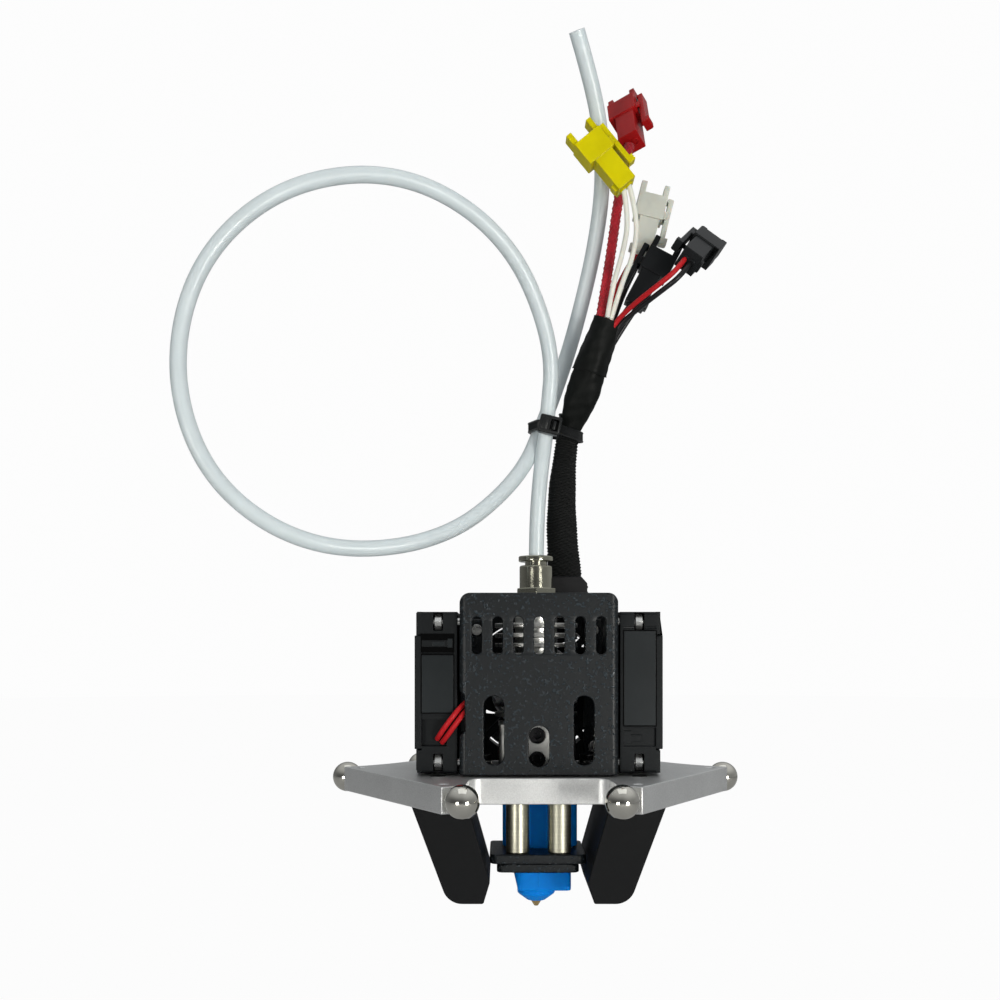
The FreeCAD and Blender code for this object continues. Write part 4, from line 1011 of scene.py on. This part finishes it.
def heat_sink_fan():
    """Rear fan's rotor: a hub cup with seven swept blades."""
    low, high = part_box("heat_sink_fan_rotor")
    centre_z = (low.z + high.z) / 2 / MM
    front, back = low.y / MM, high.y / MM
    depth = back - front
    cup = soft_profile([(1.15, 0.0), (12.0, 0.0), (12.0, depth), (1.15, depth)], [0, 0.8, 1.2, 0], 5)
    hub = lathe("hub", cup, (0, front, centre_z), (0, 1, 0), 96, 30, closed=True)

    def midplane(base, i, share):
        radius = 11.7 + 6.6 * i / 8
        angle = base + (share - 0.5) * (0.86 - 0.02 * i) + 0.05 * i
        camber = 0.7 * math.sin(math.pi * share)
        y = (front + back) / 2 + (share - 0.5) * depth * 0.86 + camber - 0.35
        return Vector((radius * math.sin(angle), y, centre_z + radius * math.cos(angle)))

    blades = blade_ring(7, 9, 11, 0.42, midplane)
    rotor = join("heat_sink_fan_wheel", [hub, blades])
    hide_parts("heat_sink_fan_rotor")
    dress(rotor, "impeller_plastic", "heat_sink_fan_spin_body")
    label_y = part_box("heat_sink_fan_frame")[0].y / MM + 0.2
    profile = soft_profile([(0, 0.02), (12.2, 0.02), (12.2, -0.1), (0, -0.1)], [0, 0, 0.05, 0], 2)
    label = lathe("fan_label", profile, (0, label_y, centre_z), (0, 1, 0), 96)
    dress(label, None, material=printed_label("fan_label", (3.4, label_y, centre_z + 5.2)))


def blower_wheel(side, node, body):
    """Blower impeller: dished hub, back disc, thirty curved blades and a tie ring."""
    low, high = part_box(node)
    centre = Vector((0, (low.y + high.y) / 2 / MM, (low.z + high.z) / 2 / MM))
    outer = (low.x if side < 0 else high.x) / MM
    depth = 6.9
    inwards = (-side, 0, 0)
    place = (outer, centre.y, centre.z)
    hub_profile = soft_profile(
        [(1.12, 0.5), (4.6, 0.5), (4.9, 0.0), (6.5, 0.0), (6.5, 6.0), (13.2, 6.0), (13.2, depth),
         (1.12, depth)],
        [0, 0.2, 0.15, 0.4, 0.8, 0.2, 0.2, 0], 4)
    hub = lathe("hub", hub_profile, place, inwards, 96, 30, closed=True)
    ring_profile = soft_profile(
        [(12.6, 0.4), (12.6, 0.0), (13.4, 0.0), (13.4, 0.8), (12.6, 0.8), (12.6, 0.4)],
        [0, 0.15, 0.15, 0.15, 0.15, 0], 3)
    ring = lathe("ring", ring_profile, place, inwards, 96, 30)

    def midplane(base, i, share):
        x_in = 0.2 + 6.0 * i / 3
        radius = 9.6 + 3.5 * share
        angle = base + side * (0.16 * share ** 1.8 + 0.02)
        y, z = centre.y + radius * math.cos(angle), centre.z + radius * math.sin(angle)
        return Vector((outer - side * x_in, y, z))

    blades = blade_ring(30, 4, 8, 0.27, midplane)
    wheel = join(node.replace("impeller", "wheel"), [hub, ring, blades])
    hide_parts(node)
    dress(wheel, "impeller_plastic", body)


# ---------------------------------------------------------------- blower fronts, sock seam, relief ribs


def blower_trim():
    """Satin panels on the blowers' narrow faces, each ringed by a dark strip of painted shade where its groove
    is, and a latch tongue above each short one, on a dark strip of painted shade where its recess is.

    Each strip: part, near and far x from the middle, bottom and top z, how proud it stands, its look.
    """
    for side, word in ((-1, "left"), (1, "right")):
        low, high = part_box(word + "_blower_housing")
        for face, y, out in (("front", low.y / MM, -1), ("back", high.y / MM, 1)):
            long_panel = (side < 0) == (face == "back")
            z0, z1 = (15.8, 39.2) if long_panel else (19.0, 33.2)
            # the seam and recess strips are thin dark sheets in the seam_shadow material: painted shade of the
            # groove round each panel and of the latch recess
            strips = [("panel", 21.2, 29.0, z0, z1, 0.14, "blower_panel"),
                      ("seam", 20.9, 29.3, z0 - 0.3, z1 + 0.3, 0.05, "seam_shadow")]
            if not long_panel:
                strips += [("recess", 20.9, 29.3, 33.9, 38.6, 0.05, "seam_shadow"),
                           ("tongue", 21.5, 29.0, 35.3, 36.9, 0.13, "fan_plastic"),
                           ("hook", 23.4, 26.4, 35.6, 36.5, 0.24, "blower_panel"),
                           ("catch", 21.4, 22.6, 35.1, 37.3, 0.24, "blower_panel")]
            for part, near, far, bottom, top, proud, finish in strips:
                x0, x1 = sorted((side * near, side * far))
                y0, y1 = sorted((y - out * 0.1, y + out * proud))
                strip = block("_".join((word, "blower", face, part)), (x0, y0, bottom), (x1, y1, top), 0.05)
                dress(strip, "fan_plastic", material=MATERIALS[finish])


def sock_seam():
    """Parting line down the front of the silicone sock."""
    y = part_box("silicone_sock")[0].y / MM
    seam = block("sock_seam", (0.35, y - 0.08, -27.2), (0.62, y + 0.25, -16.9), 0.06)
    dress(seam, "silicone_blue")


def relief_ribs():
    """Four grip ribs down the strain relief's right side."""
    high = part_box("strain_relief")[1]
    x1, z1 = high.x / MM, high.z / MM
    ribs = []
    for k in range(4):
        z = z1 - 2.9 - 1.5 * k
        ribs.append(block("rib", (x1 - 0.3, 7.0, z - 0.3), (x1 + 0.22, 12.4, z + 0.3), 0.14))
    dress(join("strain_relief_ribs", ribs), "relief_plastic")


# ---------------------------------------------------------------- finish of the carried-over CAD nodes

EDGE_WIDTHS = {
    "effector_plate": 0.28, "front_shroud": 0.3, "guard_plate_upper": 0.4, "guard_plate_lower": 0.35,
    "left_duct": 0.35, "right_duct": 0.35, "left_blower_housing": 0.1, "right_blower_housing": 0.1,
    "left_blower_cover": 0.1, "right_blower_cover": 0.1, "heat_sink_fan_frame": 0.25, "heat_sink": 0.14,
    "strain_relief": 0.35, "heater_block": 0.25, "coupling_body": 0.15, "coupling_collet": 0.08,
    "stud_set_screws": 0.08, "standoffs": 0.1, "heat_break": 0.1, "heat_break_clamp_screws": 0.1,
}
DEFAULT_EDGE = 0.12
LOOKS = {"heat_break_clamp_screws": "black_oxide", "stud_set_screws": "black_oxide"}
CONNECTOR_EDGE = 0.2
WELD_DISTANCE = 0.000002
FLAT_ANGLE = math.radians(0.6)
WEDGE_ANGLE = math.radians(28)


def finish_node(name):
    """Weld a CAD node's mesh, join its flat faces and round its edges with modifiers; its shape stays."""
    piece = NODES[name]
    mesh = piece.data
    for layer in ("custom_normal", "sharp_edge", "sharp_face"):
        if layer in mesh.attributes:
            mesh.attributes.remove(mesh.attributes[layer])
    mesh.polygons.foreach_set("use_smooth", [True] * len(mesh.polygons))
    mesh.materials.clear()
    mesh.materials.append(MATERIALS[LOOKS.get(name, NODE_SLOT[name])])
    weld = piece.modifiers.new("weld", "WELD")
    weld.merge_threshold = WELD_DISTANCE
    flats = piece.modifiers.new("join_flats", "DECIMATE")
    flats.decimate_type = "DISSOLVE"
    flats.angle_limit = FLAT_ANGLE
    if name == "silicone_sock":
        soften_sock(piece)
        return
    width = EDGE_WIDTHS.get(name, CONNECTOR_EDGE if name.startswith(("connector", "latch")) else DEFAULT_EDGE)
    rounded_edges(piece, width)


def soften_sock(piece):
    """Silicone has no crisp edge: remesh it finely and relax it."""
    remesh = piece.modifiers.new("remesh", "REMESH")
    remesh.mode = "VOXEL"
    remesh.voxel_size = 0.26 * MM
    remesh.use_smooth_shade = True
    relax = piece.modifiers.new("relax", "SMOOTH")
    relax.factor = 0.5
    relax.iterations = 7


WEDGED_NODES = (
    "front_shroud", "guard_plate_lower", "left_blower_housing", "right_blower_housing", "strain_relief",
)


def leaves_a_wedge(vertex, sharp):
    """True where two sharp edges leave a corner almost in line, too narrow to be rounded."""
    edges = [edge for edge in vertex.link_edges if edge in sharp]
    ways = [(edge.other_vert(vertex).co - vertex.co).normalized() for edge in edges]
    return any(a.angle(b, 0) < WEDGE_ANGLE for i, a in enumerate(ways) for b in ways[:i])


def rounded_copy(name):
    """Own mesh in place of a node with wedge corners: its clean edges are rounded and the wedges are left."""
    work = bmesh.new()
    work.from_mesh(NODES[name].data)
    bmesh.ops.remove_doubles(work, verts=work.verts, dist=WELD_DISTANCE)
    bmesh.ops.dissolve_limit(work, angle_limit=FLAT_ANGLE, verts=work.verts, edges=work.edges)
    sharp = {e for e in work.edges if len(e.link_faces) == 2 and e.calc_face_angle(0) > SHARP_EDGE}
    wedges = {v for v in work.verts if leaves_a_wedge(v, sharp)}
    clean = [e for e in work.edges if e in sharp and not wedges.intersection(e.verts)]
    bmesh.ops.bevel(work, geom=clean, offset=EDGE_WIDTHS[name] * MM, segments=2, profile=0.5, affect="EDGES",
                    clamp_overlap=False)
    low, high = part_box(name)
    for vertex in work.verts:
        vertex.co = [min(max(vertex.co[i], low[i]), high[i]) for i in range(3)]
    bmesh.ops.triangulate(work, faces=[f for f in work.faces if len(f.verts) > 4])
    piece = flat_piece(work, name + "_rounded", 40)
    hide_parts(name)
    dress(piece, NODE_SLOT[name])


def finish_nodes():
    for name in WEDGED_NODES:
        rounded_copy(name)
    for name, piece in NODES.items():
        if not piece.hide_render:
            finish_node(name)


# ---------------------------------------------------------------- stage and lights

PALE = (0.98, 0.98, 0.98, 1.0)


def make_world():
    """Pale backdrop for the camera; for reflections, dim in front, brighter behind and above."""
    world = bpy.data.worlds.new("studio")
    bpy.context.scene.world = world
    world.use_nodes = True
    world.node_tree.nodes.clear()
    w = Shading(world.node_tree)
    parts = w.add("ShaderNodeSeparateXYZ", {0: w.add("ShaderNodeTexCoord").outputs["Generated"]})

    def ramp(axis, from_low, from_high, to_low, to_high):
        value = parts.outputs[axis]
        return w.spread(value, from_low, from_high, to_low, to_high, interpolation_type="SMOOTHSTEP")

    behind = ramp("Y", -0.5, 0.5, 0.10, 0.17)
    right = ramp("X", -0.2, 0.8, 0.0, 0.17)
    above = ramp("Z", 0.15, 0.9, 0.0, 0.40)
    level = w.math("ADD", w.math("ADD", behind, right), above)
    glow = w.add("ShaderNodeBackground", {"Color": (0.97, 0.99, 1.0, 1.0), "Strength": level})
    pale = w.add("ShaderNodeBackground", {"Color": PALE})
    seen = w.add("ShaderNodeLightPath").outputs["Is Camera Ray"]
    w.add("ShaderNodeOutputWorld", {"Surface": w.blend(seen, glow.outputs[0], pale.outputs[0])})


def area_light(name, place, target, size, watts, colour=(1, 1, 1), glossy=True):
    data = bpy.data.lights.new(name, "AREA")
    data.shape = "RECTANGLE"
    data.size, data.size_y = size
    data.energy = watts
    data.color = colour
    lamp = bpy.data.objects.new(name, data)
    lamp.location = place
    lamp.rotation_euler = (Vector(target) - Vector(place)).to_track_quat("-Z", "Y").to_euler()
    lamp.visible_camera = False
    lamp.visible_glossy = glossy
    bpy.context.scene.collection.objects.link(lamp)


def make_lights():
    target = (0, 0, 0.05)
    area_light("key_right", (0.40, -0.68, -0.04), target, (0.24, 0.24), 3.4, (1.0, 0.985, 0.94))
    area_light("key_left", (-0.40, -0.68, -0.04), target, (0.22, 0.22), 1.65, (1.0, 0.985, 0.94))
    area_light("top", (0.0, -0.1, 1.0), target, (0.8, 0.8), 1.2, (0.95, 0.98, 1.0))
    area_light("front_fill", (0.0, -0.8, 0.06), target, (0.3, 0.3), 0.8, glossy=False)
    area_light("back_left", (-0.35, 0.9, 0.3), target, (0.4, 0.4), 1.6, glossy=False)
    area_light("back_right", (0.35, 0.9, 0.3), target, (0.4, 0.4), 1.6, glossy=False)


def make_floor():
    """Plain pale floor below the hanging assembly, a wide disc that is open from below."""
    floor_height, floor_radius = -120.0, 4000.0
    floor = lathe("floor", [(0, 0), (floor_radius, 0)], (0, 0, floor_height), (0, 0, 1), 64)
    work = bmesh.new()
    work.from_mesh(floor.data)
    for face in work.faces:
        if face.normal.z < 0:
            face.normal_flip()
    work.to_mesh(floor.data)
    work.free()
    s = Surface("floor_pale", roughness=0.8)
    s.set("Base Color", s.mix(s.noise(3, 3), (0.42, 0.42, 0.42), (0.46, 0.46, 0.46)))
    seen = s.add("ShaderNodeLightPath").outputs["Is Camera Ray"]
    glow = s.add("ShaderNodeEmission", {"Color": PALE})
    lift = s.blend(s.math("MULTIPLY", seen, 0.99), s.shader.outputs[0], glow.outputs[0])
    clear = s.add("ShaderNodeBsdfTransparent")
    back = s.add("ShaderNodeNewGeometry").outputs["Backfacing"]
    one_sided = s.blend(back, lift, clear.outputs[0])
    s.feed(s.tree.nodes["Material Output"].inputs["Surface"], one_sided)
    floor.data.materials.append(s.material)


# ---------------------------------------------------------------- build

make_camera()
bpy.context.scene.view_settings.view_transform = "Standard"
tube_track = bowden_tube()
sleeve, sleeve_track = woven_sleeve()
red_braid()
wires()
shrinks = heat_shrink()
ties = cable_tie(tube_track, sleeve_track)
connector_details()
ball_studs()
heat_sink_fan()
blower_wheel(-1, "left_blower_impeller", "left_blower_spin_body")
blower_wheel(1, "right_blower_impeller", "right_blower_spin_body")
blower_trim()
sock_seam()
relief_ribs()
finish_nodes()
make_world()
make_lights()
make_floor()
